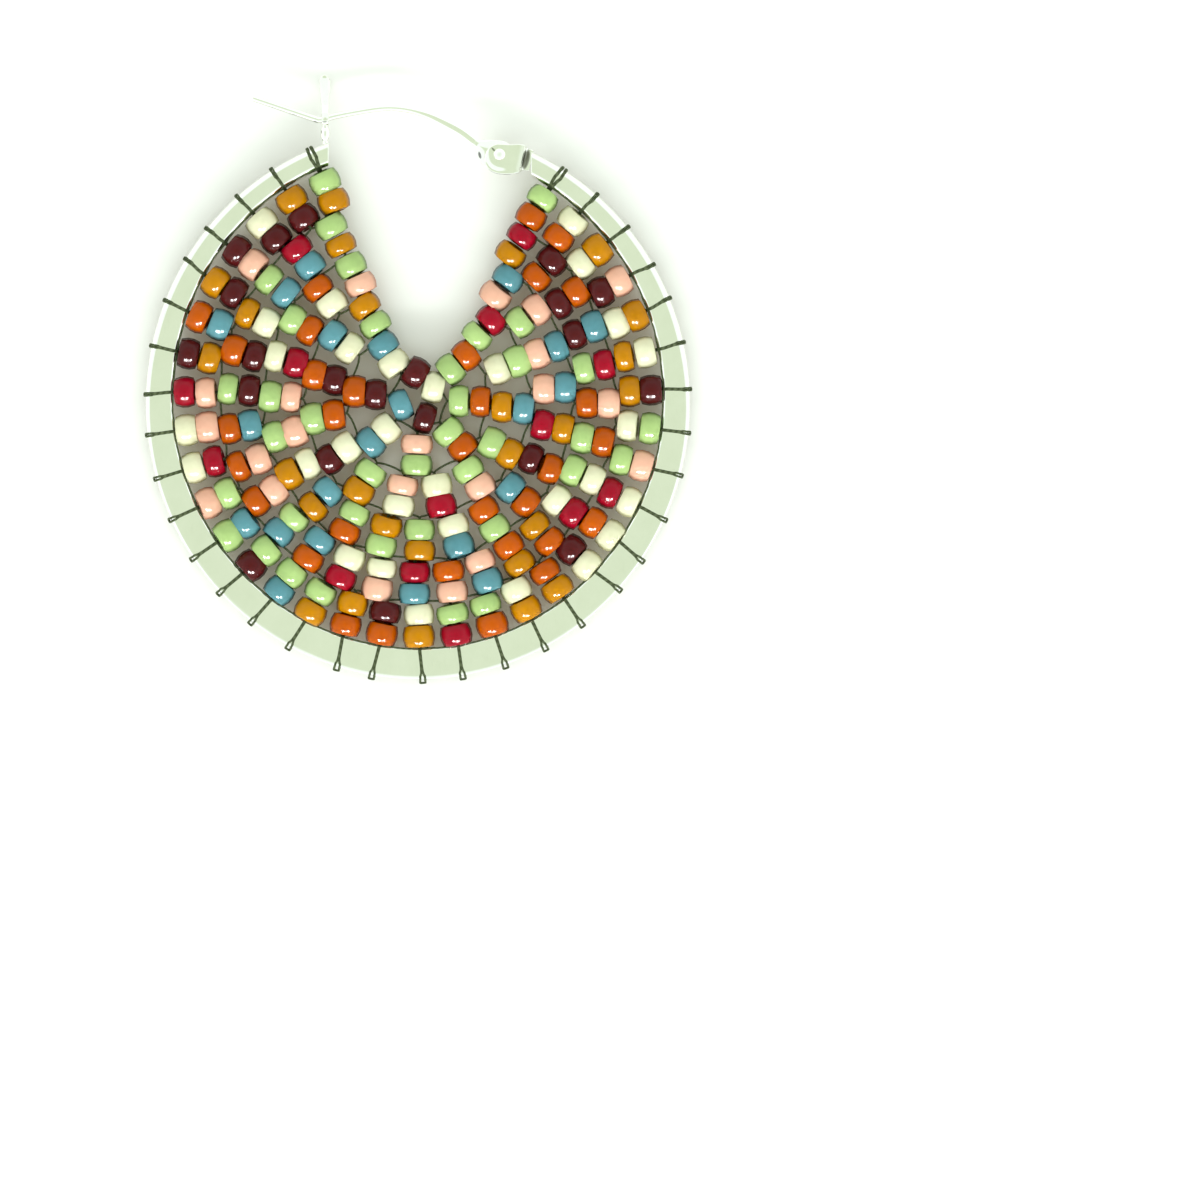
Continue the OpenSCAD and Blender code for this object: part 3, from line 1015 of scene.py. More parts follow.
@dataclass
class Hinge:
    """The hinge on the hoop's right end: a bracket with two cheeks, and the rivet through them."""

    laying: Laying
    bracket_finish: SilverPlate
    rivet_finish: SilverPlate
    rivet: tuple[float, float] = RIVET
    cheeks_t: float = 1.7
    seat_air: float = 0.02
    pin_d: float = 0.68
    head_d: float = 1.08
    head_h: float = 0.24
    head_rim: float = 0.05
    rim_h: float = 0.04
    dome_steps: int = 7
    dome_least_r: float = 0.02
    head_sides: int = 28
    cheek_mid: tuple[float, float] = (7.7, 23.03)
    cheek_r: float = 1.4
    cheek_squareness: float = 10.0
    bevel_from: float = 0.8
    bevel_wide: float = 0.42
    bevel_slope: float = 0.3
    bevel_turn_deg: float = 238.0
    bevel_spread_deg: float = 85.0
    edge: float = 0.07
    face_points: int = 26
    lean_deg: float = -13.0
    tip_turns: tuple[float, ...] = (4.0, 10.0, 18.0, 28.0, 40.0, 54.0, 70.0)
    run: tuple[tuple[float, float, float, float], ...] = (
        (0.0, 1.4, 0.0, 0.85), (0.5, 1.42, 0.06, 0.85), (1.0, 1.44, 0.16, 0.85), (1.4, 1.44, 0.28, 0.85),
        (1.6, 1.43, 0.33, 0.85), (1.64, 1.43, 0.34, 0.846), (1.85, 1.4, 0.39, 0.816),
        (2.07, 1.36, 0.46, 0.784), (2.12, 1.31, 0.48, 0.72), (2.2, 1.26, 0.49, 0.6), (2.24, 1.2, 0.5, 0.48),
        (2.29, 1.13, 0.5, 0.37), (2.37, 1.08, 0.5, 0.31), (2.5, 1.05, 0.5, 0.3), (2.7, 1.03, 0.5, 0.32),
        (2.95, 1.0, 0.5, 0.35))
    slot_t: float = 0.62
    slot_from: float = -2.0
    slot_to: float = 1.33
    slot_half_w: float = 3.0
    bore_d: float = 0.72
    bore_reach: float = 2.0

    def at(self, ahead: float, aside: float) -> Vector:
        """Gives a place from the cheeks' middle, ahead towards the tube and aside towards the top."""
        turn = math.radians(self.lean_deg)
        x = self.cheek_mid[0] + ahead * math.cos(turn) - aside * math.sin(turn)
        return Vector((x, self.cheek_mid[1] + ahead * math.sin(turn) + aside * math.cos(turn), 0.0))

    def bevelled(self, point: Vector) -> Vector:
        """Lowers a point of the cheeks' faces where a broad bevel runs along their lower left rim."""
        away = point.xy - Vector(self.cheek_mid)
        off = (math.degrees(math.atan2(away.y, away.x)) - self.bevel_turn_deg + 180) % 360 - 180
        share = max(0.0, 1 - (off / self.bevel_spread_deg) ** 2)
        fall = min(max(away.length - self.bevel_from, 0.0), self.bevel_wide) * self.bevel_slope * share
        fall *= (2 * point.z / self.cheeks_t) ** 2
        return Vector((point.x, point.y, point.z - math.copysign(fall, point.z)))

    def bracket(self) -> bpy.types.Object:
        """Lofts the bracket from the cheeks' round end to the tube, then cuts its slot and its bore.

        Returns:
            The piece.
        """
        side = self.at(0.0, 1.0) - self.at(0.0, 0.0)
        tip = []
        for turn_deg in self.tip_turns:
            turn = math.radians(turn_deg)
            thinned = (1 - math.cos(turn) ** self.cheek_squareness) ** (1 / self.cheek_squareness)
            back, half_w = -self.cheek_r * math.cos(turn), self.cheek_r * math.sin(turn)
            tip.append((back, half_w, 0.0, self.cheeks_t / 2 * thinned))
        rings = [stamped_ring(self.at(ahead, aside), side, half_w, half_t, self.edge, self.face_points)
                 for ahead, half_w, aside, half_t in tip + list(self.run)]
        piece = make_piece("soft_edged_bracket", [[self.bevelled(point) for point in ring] for ring in rings])
        slot = make_piece("bracket_slot", [
            bar_ring(self.at(ahead, 0.0), side, UP, self.slot_half_w, self.slot_t / 2, BOX, 4)
            for ahead in (self.slot_from, self.slot_to)])
        bore = upright_rod("rivet_bore", self.rivet, [
            (z, self.bore_d / 2) for z in (-self.bore_reach, self.bore_reach)], self.head_sides)
        combine(piece, [slot, bore], "DIFFERENCE")
        dress = Dress(self.laying, self.bracket_finish, Body.HOOP, Slot.HINGE, "hinge_bracket", 40.0)
        return dress.put_on(piece)

    def rivet_profile(self) -> list[tuple[float, float]]:
        """Gives the rivet's upper half as heights and radii: the pin, the flat under its head, the dome."""
        head_z = self.cheeks_t / 2 + self.seat_air
        turns = [math.radians(90 * k / self.dome_steps) for k in range(1, self.dome_steps + 1)]
        dome = [(head_z + self.head_h * math.sin(turn), self.head_d / 2 * math.cos(turn))
                for turn in turns]
        rim = [(head_z, self.head_d / 2 - self.head_rim), (head_z + self.rim_h, self.head_d / 2)]
        dome = [(z + self.rim_h * (1 - z / (head_z + self.head_h)), max(r, self.dome_least_r))
                for z, r in dome]
        return [(0.0, self.pin_d / 2), (head_z, self.pin_d / 2)] + rim + dome

    def headed_pin(self) -> bpy.types.Object:
        """Lofts the rivet with a dome at each end.

        Returns:
            The piece.
        """
        upper = self.rivet_profile()
        profile = [(-z, r) for z, r in reversed(upper)] + upper[1:]
        piece = upright_rod("rivet", self.rivet, profile, self.head_sides)
        dress = Dress(self.laying, self.rivet_finish, Body.HOOP, Slot.HINGE, "hinge_pin", 60.0)
        return dress.put_on(piece)


def through(points: Sequence[Vector], step: float) -> list[Vector]:
    """Draws a smooth line through points.

    Args:
        points: The points.
        step: The distance from one place of the line to the next, about.

    Returns:
        Places along the line.
    """
    places = []
    for k in range(len(points) - 1):
        a, b = points[max(k - 1, 0)], points[k]
        c, d = points[k + 1], points[min(k + 2, len(points) - 1)]
        count = max(1, round((c - b).length / step))
        for part in range(count):
            t = part / count
            places.append(0.5 * ((2 * b) + (c - a) * t + (2 * a - 5 * b + 4 * c - d) * t ** 2
                                 + (3 * b - a - 3 * c + d) * t ** 3))
    places.append(points[-1].copy())
    return places


@dataclass
class EarWire:
    """The post wire: hammered flat to an eye on the rivet, bowed over the ear and straight past the catch."""

    laying: Laying
    finish: SilverPlate
    rivet: tuple[float, float] = RIVET
    wire_d: float = 0.64
    eye_r: float = 1.36
    eye_t: float = 0.5
    bore_d: float = 0.8
    paddle_mid: tuple[float, float] = (6.85, 23.36)
    paddle_r: float = 1.1
    spine_from: tuple[float, float] = (5.95, 24.15)
    kink: tuple[tuple[float, float], ...] = ((5.16, 24.42), (5.2, 24.66), (5.42, 24.86))
    route: tuple[tuple[float, float], ...] = (
        (6.3, 24.1), (5.9, 24.28), (5.4, 24.58), (4.1, 25.55), (2.9, 26.22), (1.1, 27.08), (-0.6, 27.6),
        (-2.2, 27.82), (-3.8, 27.77), (-6.0, 27.42), (-8.0, 27.02), (-8.74, 26.77), (-9.3, 26.72),
        (-9.95, 26.88))
    tail_turn: float = 161.5
    tail_l: float = 6.0
    flat_until: float = 2.8
    round_from: float = 8.5
    round_share: float = 0.96
    sunk_share: float = 0.2
    rise_l: float = 1.25
    hammered_wider: float = 0.06
    hammered_thinner: float = 0.26
    hammered_squareness: float = 5.0
    plate_soft: float = 0.045
    plate_crown: float = 0.19
    plate_crown_share: float = 0.9
    step: float = 0.22
    sides: int = 28
    tip_steps: int = 6
    bore_sides: int = 32

    def hammered_end(self) -> Plate:
        """Gives the plate that the wire's end is hammered to: the eye, its shoulder and the kink."""
        points = circle_points(self.rivet, self.eye_r) + circle_points(self.paddle_mid, self.paddle_r)
        return Plate(points + list(self.kink), -self.eye_t / 2, self.eye_t / 2, (self.spine_from, self.rivet),
                     self.plate_soft, self.plate_crown, self.plate_crown_share)

    def wire_rings(self) -> list[Ring]:
        """Draws the round wire from the kink over the crown and the catch to its rounded tip."""
        turn = math.radians(self.tail_turn)
        start = Vector((*self.route[-1], 0.0))
        tip = start + Vector((math.cos(turn), math.sin(turn), 0.0)) * self.tail_l
        radius = self.wire_d / 2
        places = through([Vector((*point, 0.0)) for point in self.route] + [tip], self.step)
        rings: list[Ring] = []
        gone = 0.0
        for k, place in enumerate(places[:-1]):
            ahead = (places[k + 1] - places[max(k - 1, 0)]).normalized()
            share = min(max((gone - self.flat_until) / (self.round_from - self.flat_until), 0.0), 1.0)
            flat = 1 - self.round_share * share * share * (3 - 2 * share)
            risen = min(self.sunk_share + (1 - self.sunk_share) * gone / self.rise_l, 1.0)
            rings.append(bar_ring(
                place, UP.cross(ahead), UP, radius * (1 + self.hammered_wider * flat),
                radius * (1 - self.hammered_thinner * flat) * risen,
                OVAL + (self.hammered_squareness - OVAL) * flat, self.sides))
            gone += (places[k + 1] - place).length
        ahead = (tip - places[-2]).normalized()
        for part in range(1, self.tip_steps + 1):
            bend = math.radians(90 * part / self.tip_steps)
            middle = tip - ahead * radius * (1 - math.sin(bend))
            left = radius * max(math.cos(bend), LEAST_TIP)
            rings.append(bar_ring(middle, UP.cross(ahead), UP, left, left, OVAL, self.sides))
        return rings

    def build(self) -> bpy.types.Object:
        """Builds the ear wire with its bore and dresses it.

        Returns:
            The piece.
        """
        piece = make_piece("bowed_ear_wire", self.wire_rings())
        combine(piece, [make_piece("hammered_end", self.hammered_end().rings())], "UNION")
        bore = upright_rod("eye_bore", self.rivet, [
            (z, self.bore_d / 2) for z in (-2 * self.eye_t, 2 * self.eye_t)], self.bore_sides)
        combine(piece, [bore], "DIFFERENCE")
        return Dress(self.laying, self.finish, Body.EAR_WIRE, Slot.WIRE, "ear_wire").put_on(piece)


@dataclass(frozen=True)
class Row:
    """One row of two-bead stacks: its radii, its first and last angle, and the bridges that it leaves out."""

    outer_r: float
    inner_r: float
    first: float
    last: float
    left_out: tuple[int, ...] = ()


@dataclass
class Bead:
    """One seed bead: its middle, the turn of its hole on the face, its tilt, its size and its shade."""

    middle: Vector
    turn: float
    tilt: float = 0.0
    wide: float = 1.0
    long: float = 1.0
    shade: float = 0.0
    glass: int = 0

    def end(self, side: float, half_l: float) -> Vector:
        """Gives the mouth of the hole, on the side that it points to for 1 and on the other for -1."""
        return self.middle + self.heading() * (side * half_l)

    def heading(self) -> Vector:
        """Gives the direction of the hole on the face."""
        return Vector((math.cos(self.turn), math.sin(self.turn), 0.0))


@dataclass
class Beadwork:
    """Five rows of two-drop brick stitch and the four beads that close their middle."""

    laying: Laying
    hoop: HoopFrame
    rows: tuple[Row, ...] = (
        Row(22.42, 20.30, 113.5, 417.7),
        Row(18.45, 16.30, 117.0, 417.0, (3, 8, 13, 18, 24, 29)),
        Row(14.28, 12.27, 117.0, 412.8, (5, 9, 13, 17, 20, 24)),
        Row(10.29, 8.27, 120.0, 407.0, (3, 6, 9, 12, 15, 18)),
        Row(6.06, 4.19, 123.0, 402.0, (2, 4, 6, 8, 10)))
    first_row_stacks: int = 34
    settle_passes: int = 6
    settle_pull: float = 0.75
    row_mid_y: float = 0.28
    closing: tuple[tuple[float, float, float], ...] = (
        (-0.22, 2.8, -31.0), (1.52, 1.52, -12.0), (-1.61, -0.17, 22.0), (0.76, -1.25, -18.0))
    bead_d: float = 3.04
    bead_l: float = 2.06
    hole_d: float = 0.95
    squareness: float = 2.5
    sides: int = 8
    section_points: int = 7
    crowding: float = 0.42
    seed: int = 34
    swing_deg: float = 4.5
    own_turn_deg: float = 2.5
    tilt_deg: float = 4.0
    shift: float = 0.12
    least_lift: float = 0.02
    most_lift: float = 0.13
    wide_spread: tuple[float, float, float] = (0.018, 0.96, 1.03)
    long_spread: tuple[float, float, float] = (0.05, 0.88, 1.12)
    push_passes: int = 40
    push_share: float = 0.3
    pressed_share: float = 0.97
    touching: float = 2.75
    stacks: list[list[tuple[Bead, Bead]]] = field(default_factory=list)
    loose: list[Bead] = field(default_factory=list)

    def row_angles(self) -> list[list[float]]:
        """Works out where the stacks hang: each from a bridge of the row outside it, then drawn even.

        Returns:
            For each row, the angles of its stacks in degrees.
        """
        found: list[list[float]] = []
        for row in self.rows:
            if not found:
                step = (row.last - row.first) / (self.first_row_stacks - 1)
                found.append([row.first + step * k for k in range(self.first_row_stacks)])
                continue
            above = found[-1]
            bridges = [(a + b) / 2 for a, b in zip(above, above[1:])]
            angles = [a for number, a in enumerate(bridges, 1) if number not in row.left_out]
            angles[0], angles[-1] = row.first, row.last
            for _ in range(self.settle_passes):
                before = list(angles)
                for k in range(1, len(angles) - 1):
                    even = (before[k - 1] + before[k + 1]) / 2
                    angles[k] = before[k] + self.settle_pull * (even - before[k])
            found.append(angles)
        return found

    def on_row(self, radius: float, angle: float) -> Vector:
        """Gives the place at a radius and an angle in degrees, on rows that are squashed as the window is."""
        turn = math.radians(angle)
        squash = self.window_squash()
        return Vector((squash * radius * math.cos(turn), self.row_mid_y + radius * math.sin(turn), 0.0))

    def window_squash(self) -> float:
        """Gives how much narrower than high the window is."""
        return self.hoop.window_w / self.hoop.window_h

    def string(self) -> list[Bead]:
        """Places every bead, as even as the stitch makes them, then moves each a little as by hand.

        Returns:
            All the beads.
        """
        chance = random.Random(self.seed)
        for row, angles in zip(self.rows, self.row_angles()):
            stacks = []
            for angle in angles:
                lean = math.radians(chance.uniform(-self.swing_deg, self.swing_deg))
                slide = chance.uniform(-self.shift, self.shift)
                pair = []
                for radius in (row.outer_r, row.inner_r):
                    own_turn = chance.uniform(-self.own_turn_deg, self.own_turn_deg)
                    turn = math.radians(angle) + lean + math.radians(own_turn)
                    bead = Bead(self.on_row(radius + slide, angle), turn)
                    self.vary(bead, chance)
                    pair.append(bead)
                stacks.append((pair[0], pair[1]))
            self.stacks.append(stacks)
        for x, y, turn in self.closing:
            bead = Bead(Vector((x, y, 0.0)), math.radians(turn))
            self.vary(bead, chance)
            self.loose.append(bead)
        beads = [bead for stacks in self.stacks for pair in stacks for bead in pair] + self.loose
        self.make_room(beads)
        self.deal(beads, chance)
        return beads

    def vary(self, bead: Bead, chance: random.Random) -> None:
        """Gives a bead its own tilt, height, size and shade."""
        bead.tilt = math.radians(chance.gauss(0.0, self.tilt_deg))
        bead.middle.z = chance.uniform(self.least_lift, self.most_lift)
        for name, (spread, least, most) in (("wide", self.wide_spread), ("long", self.long_spread)):
            setattr(bead, name, min(max(chance.gauss(1.0, spread), least), most))
        bead.shade = chance.random()

    def make_room(self, beads: list[Bead]) -> None:
        """Pushes beads apart where they press into one another.

        A bead seen from the front is taken as two circles side by side across its hole.

        Args:
            beads: The beads, which are moved.
        """
        radius = self.pressed_share * self.bead_l / 2
        across = self.bead_d / 2 - radius
        middles = np.array([bead.middle.xy for bead in beads])
        sideways = np.array([(-math.sin(bead.turn), math.cos(bead.turn)) for bead in beads])
        owner = np.repeat(np.arange(len(beads)), 2)
        side = np.tile((1.0, -1.0), len(beads))
        apart_owner = owner[:, None] != owner[None, :]
        for _ in range(self.push_passes):
            spots = middles[owner] + sideways[owner] * (side * across)[:, None]
            gaps = spots[:, None, :] - spots[None, :, :]
            far = np.maximum(np.linalg.norm(gaps, axis=2), 1e-6)
            press = np.where(apart_owner, np.maximum(2 * radius - far, 0.0), 0.0)
            push = (gaps / far[:, :, None] * press[:, :, None]).sum(axis=1) * self.push_share
            np.add.at(middles, owner, push)
        for bead, place in zip(beads, middles):
            bead.middle.x, bead.middle.y = float(place[0]), float(place[1])

    def deal(self, beads: list[Bead], chance: random.Random) -> None:
        """Deals the glasses by their shares, never the same to beads that touch.

        Args:
            beads: The beads, which get their glass.
            chance: Where the draws come from.
        """
        shares = [glass.share for glass in Glass]
        for number, bead in enumerate(beads):
            taken = {other.glass for other in beads[:number]
                     if (other.middle - bead.middle).length < self.touching}
            weights = [0.0 if k in taken else share for k, share in enumerate(shares)]
            bead.glass = chance.choices(range(len(shares)), weights)[0]

    def sizes(self) -> dict[str, Any]:
        """Gives the sizes of a bead by the names of the tree's inputs."""
        return {
            "Bead Diameter": self.bead_d, "Bead Length": self.bead_l, "Hole Diameter": self.hole_d,
            "Squareness": self.squareness, "Crowding": self.crowding, "Sides": self.sides,
            "Section Points": self.section_points}

    def tree(self) -> bpy.types.NodeTree:
        """Builds the tree that sweeps a bead's section round its hole and sets a bead at each point.

        The section's points are moved towards the outer side, where they show, and two lie near its corners.

        Returns:
            The tree.
        """
        tree, given = new_shape_tree("seed_beads", self.sizes())
        size = given.outputs
        quarters = []
        for operation in ("ADD", "SUBTRACT"):
            both = add_node(tree, "ShaderNodeMath", {
                0: size["Bead Diameter"], 1: size["Hole Diameter"]}, operation=operation).outputs["Value"]
            quarters.append(add_node(tree, "ShaderNodeMath", {
                0: both, 1: 0.25}, operation="MULTIPLY").outputs["Value"])
        ring_r, half_thick = quarters
        half_long = add_node(tree, "ShaderNodeMath", {
            0: size["Bead Length"], 1: 0.5}, operation="MULTIPLY").outputs["Value"]
        section = add_node(tree, "GeometryNodeCurvePrimitiveCircle", {
            "Resolution": size["Section Points"], "Radius": 1.0}, mode="RADIUS").outputs["Curve"]
        spot = add_node(tree, "GeometryNodeInputPosition").outputs["Position"]
        opposite = add_node(tree, "ShaderNodeVectorMath", {
            0: spot, "Scale": -1.0}, operation="SCALE").outputs["Vector"]
        parts = add_node(tree, "ShaderNodeSeparateXYZ", {"Vector": opposite}).outputs
        even = add_node(tree, "ShaderNodeMath", {
            0: parts["Y"], 1: parts["X"]}, operation="ARCTAN2").outputs["Value"]
        swell = add_node(tree, "ShaderNodeMath", {0: even}, operation="SINE").outputs["Value"]
        shift = add_node(tree, "ShaderNodeMath", {
            0: swell, 1: size["Crowding"]}, operation="MULTIPLY").outputs["Value"]
        crowded = add_node(tree, "ShaderNodeMath", {0: even, 1: shift}, operation="SUBTRACT").outputs["Value"]
        parts = []
        powers = []
        for operation in ("COSINE", "SINE"):
            part = add_node(tree, "ShaderNodeMath", {0: crowded}, operation=operation).outputs["Value"]
            plain = add_node(tree, "ShaderNodeMath", {0: part}, operation="ABSOLUTE").outputs["Value"]
            parts.append(part)
            powers.append(add_node(tree, "ShaderNodeMath", {
                0: plain, 1: size["Squareness"]}, operation="POWER").outputs["Value"])
        spot = add_node(tree, "ShaderNodeCombineXYZ", {"X": parts[0], "Y": parts[1]}).outputs["Vector"]
        total = add_node(tree, "ShaderNodeMath", {
            0: powers[0], 1: powers[1]}, operation="ADD").outputs["Value"]
        root = add_node(tree, "ShaderNodeMath", {
            0: -1.0, 1: size["Squareness"]}, operation="DIVIDE").outputs["Value"]
        reach = add_node(tree, "ShaderNodeMath", {0: total, 1: root}, operation="POWER").outputs["Value"]
        squared = add_node(tree, "ShaderNodeVectorMath", {
            0: spot, "Scale": reach}, operation="SCALE").outputs["Vector"]
        halves = add_node(tree, "ShaderNodeCombineXYZ", {"X": half_thick, "Y": half_long}).outputs["Vector"]
        sized = add_node(tree, "ShaderNodeVectorMath", {
            0: squared, 1: halves}, operation="MULTIPLY").outputs["Vector"]
        section = add_node(tree, "GeometryNodeSetPosition", {
            "Geometry": section, "Position": sized}).outputs["Geometry"]
        ring = add_node(tree, "GeometryNodeCurvePrimitiveCircle", {
            "Resolution": size["Sides"], "Radius": ring_r}, mode="RADIUS").outputs["Curve"]
        bead = add_node(tree, "GeometryNodeCurveToMesh", {
            "Curve": ring, "Profile Curve": section}).outputs["Mesh"]
        bead = add_node(tree, "GeometryNodeSetShadeSmooth", {"Geometry": bead}).outputs["Geometry"]
        turn, wide = [add_node(tree, "GeometryNodeInputNamedAttribute", {
            "Name": mark.value}, data_type="FLOAT_VECTOR") for mark in (Mark.TURN, Mark.SIZE)]
        turned = add_node(tree, "FunctionNodeEulerToRotation", {"Euler": turn.outputs["Attribute"]})
        beads = add_node(tree, "GeometryNodeInstanceOnPoints", {
            "Points": size["Geometry"], "Instance": bead, "Rotation": turned.outputs["Rotation"],
            "Scale": wide.outputs["Attribute"]}).outputs["Instances"]
        beads = add_node(tree, "GeometryNodeRealizeInstances", {"Geometry": beads}).outputs["Geometry"]
        glass = add_node(tree, "GeometryNodeInputNamedAttribute", {"Name": Mark.GLASS.value}, data_type="INT")
        for number, kind in enumerate(Glass):
            chosen = add_node(tree, "FunctionNodeCompare", {
                "A": glass.outputs["Attribute"], "B": number}, data_type="INT", operation="EQUAL")
            beads = add_node(tree, "GeometryNodeSetMaterial", {
                "Geometry": beads, "Selection": chosen.outputs["Result"],
                "Material": kind.finish.material()}).outputs["Geometry"]
        add_node(tree, "NodeGroupOutput", {"Geometry": beads})
        return tree

    def build(self) -> bpy.types.Object:
        """Sets a bead at every place and dresses each in its glass.

        Returns:
            The piece.
        """
        beads = self.string()
        mesh = bpy.data.meshes.new("seed_beads")
        mesh.from_pydata([bead.middle for bead in beads], [], [])
        turns = [(0.0, math.pi / 2 - bead.tilt, bead.turn) for bead in beads]
        sizes = [(bead.wide, bead.wide, bead.long) for bead in beads]
        for mark, kind, field_name, values in (
                (Mark.TURN, "FLOAT_VECTOR", "vector", np.ravel(turns)),
                (Mark.SIZE, "FLOAT_VECTOR", "vector", np.ravel(sizes)),
                (Mark.GLASS, "INT", "value", [bead.glass for bead in beads]),
                (Mark.SHADE, "FLOAT", "value", [bead.shade for bead in beads])):
            mesh.attributes.new(mark.value, kind, "POINT").data.foreach_set(field_name, values)
        piece = add_object("seed_beads", mesh)
        grow(piece, self.tree(), self.sizes())
        self.laying.lay(piece.data)
        settle_on(piece, Body.HOOP, ["bead_panel"])
        return piece


@dataclass
class Threading:
    """The thread: wraps round the tube, bridges between the stacks, and a line along the window's edge."""

    laying: Laying
    hoop: HoopFrame
    beadwork: Beadwork
    finish: WaxedThread
    strand_d: float = 0.21
    bridge_d: float = 0.2
    line_d: float = 0.17
    strand_sides: int = 8
    line_steps: int = 3
    close_apart: float = 0.11
    wide_apart: float = 0.44
    rim_apart: float = 0.5
    tight_share: float = 0.46
    loose_out: float = 0.24
    least_loose: float = 0.1
    double_apart: float = 0.54
    stray: float = 0.16
    double_closed: float = 0.36
    parted_by: float = 4.0
    into_hole: float = 0.55
    hole_side: float = 0.07
    hole_lift: float = 0.08
    mouth_lift: float = 0.1
    rim_deg: float = 55.0
    front_parting: tuple[tuple[float, float], ...] = ((0.0, 0.0), (0.68, 0.0), (0.9, 0.45), (1.0, 1.0))
    rim_parting: tuple[tuple[float, float], ...] = (
        (55.0, 0.9), (24.0, 1.0), (5.0, 0.85), (-5.0, -0.4), (-24.0, -0.9), (-55.0, -1.0))
    bridge_out: float = 0.14
    bridge_sag: float = 0.16
    sag_spread: tuple[float, float] = (0.6, 1.5)
    sag_path: tuple[tuple[float, float, float], ...] = (
        (0.0, 0.6, 0.0), (0.25, 1.0, 0.8), (0.5, 1.0, 1.0), (0.75, 1.0, 0.8), (1.0, 0.6, 0.0))
    edge_gap: float = 0.05
    window_points: int = 132
    window_lie_deg: float = 38.0
    window_stray_deg: float = 9.0
    seed: int = 12

    def tree(self) -> bpy.types.NodeTree:
        """Builds the tree that sweeps round thread along smooth lines.

        Returns:
            The tree.
        """
        tree, given = new_shape_tree("thread_sweep", {
            "Thickness": self.strand_d, "Sides": self.strand_sides, "Steps": self.line_steps})
        lines = add_node(tree, "GeometryNodeMeshToCurve", {
            "Mesh": given.outputs["Geometry"]}).outputs["Curve"]
        lines = add_node(tree, "GeometryNodeCurveSplineType", {
            "Curve": lines}, spline_type="CATMULL_ROM").outputs["Curve"]
        lines = add_node(tree, "GeometryNodeSetSplineResolution", {
            "Geometry": lines, "Resolution": given.outputs["Steps"]}).outputs["Geometry"]
        along = add_node(tree, "GeometryNodeSplineParameter").outputs["Length"]
        lines = add_node(tree, "GeometryNodeStoreNamedAttribute", {
            "Geometry": lines, "Name": Mark.ALONG.value, "Value": along}, data_type="FLOAT",
            domain="POINT").outputs["Geometry"]
        radius = add_node(tree, "ShaderNodeMath", {
            0: given.outputs["Thickness"], 1: 0.5}, operation="MULTIPLY").outputs["Value"]
        section = add_node(tree, "GeometryNodeCurvePrimitiveCircle", {
            "Resolution": given.outputs["Sides"], "Radius": radius}, mode="RADIUS").outputs["Curve"]
        around = add_node(tree, "GeometryNodeSplineParameter").outputs["Factor"]
        section = add_node(tree, "GeometryNodeStoreNamedAttribute", {
            "Geometry": section, "Name": Mark.AROUND.value, "Value": around}, data_type="FLOAT",
            domain="POINT").outputs["Geometry"]
        skin = add_node(tree, "GeometryNodeCurveToMesh", {
            "Curve": lines, "Profile Curve": section, "Fill Caps": True}).outputs["Mesh"]
        skin = add_node(tree, "GeometryNodeSetShadeSmooth", {"Geometry": skin}).outputs["Geometry"]
        skin = add_node(tree, "GeometryNodeRealizeInstances", {"Geometry": skin}).outputs["Geometry"]
        skin = add_node(tree, "GeometryNodeSetMaterial", {
            "Geometry": skin, "Material": self.finish.material()}).outputs["Geometry"]
        add_node(tree, "NodeGroupOutput", {"Geometry": skin})
        return tree

    def sweep(self, name: str, lines: Sequence[Sequence[Vector]], thickness: float,
              tree: bpy.types.NodeTree) -> bpy.types.Object:
        """Sweeps thread along lines and makes it one piece.

        Args:
            name: The piece's name.
            lines: The points of each line.
            thickness: The thread's diameter.
            tree: The tree that sweeps it.

        Returns:
            The piece.
        """
        points: list[Vector] = []
        edges: list[tuple[int, int]] = []
        for line in lines:
            start = len(points)
            points += list(line)
            edges += [(start + k, start + k + 1) for k in range(len(line) - 1)]
        mesh = bpy.data.meshes.new(name)
        mesh.from_pydata(points, edges, [])
        piece = add_object(name, mesh)
        grow(piece, tree, {"Thickness": thickness, "Sides": self.strand_sides})
        self.laying.lay(piece.data)
        settle_on(piece, Body.HOOP)
        return piece

    def strand(self, bead: Bead, sideways: float, stray: float, wide_apart: float) -> list[Vector]:
        """Leads one strand out of a bead, over the tube's front, round its edge and back along its back.

        The two strands of a wrap part a little on the front and cross behind the tube's edge.

        Args:
            bead: The outer bead of a stack of the first row.
            sideways: 1 or -1, for the side of the wrap that the strand lies on.
            stray: How far the wrap's outer end lies off its straight line.
            wide_apart: How far the wrap's strands are apart at the tube's outer edge.

        Returns:
            The strand's points.
        """
        work = self.beadwork
        heading = bead.heading()
        side = UP.cross(heading)
        inner, outer = self.hoop.crossings(bead.middle, heading)
        width = (outer - inner).length
        radius = self.hoop.thickness(width) / 2
        lie = radius + self.strand_d / 2
        flat = width / 2 - radius
        middle = (inner + outer) / 2
        front = []
        back = []
        for share, apart in self.front_parting:
            spread = (self.close_apart + (wide_apart - self.close_apart) * apart) / 2 * sideways
            along = middle + heading * (-flat + 2 * flat * share) + side * (stray * share)
            front.append(along + side * spread + UP * lie)
            back.insert(0, along + side * (spread * (1 - 2 * share)) - UP * lie)
        rim = []
        loose = self.loose_out * (self.least_loose + (1 - self.least_loose) * max(0.0, -heading.y))
        rim_apart = self.rim_apart * wide_apart / self.wide_apart
        for turn_deg, crossed in self.rim_parting:
            turn = math.radians(turn_deg)
            away = lie + loose * math.cos(turn)
            sway = side * (rim_apart / 2 * sideways * crossed + stray)
            rim.append(middle + heading * (flat + away * math.cos(turn)) + sway + UP * (lie * math.sin(turn)))
        nudge = side * (self.hole_side * sideways)
        mouth = bead.end(1, work.bead_l * bead.long / 2) + nudge
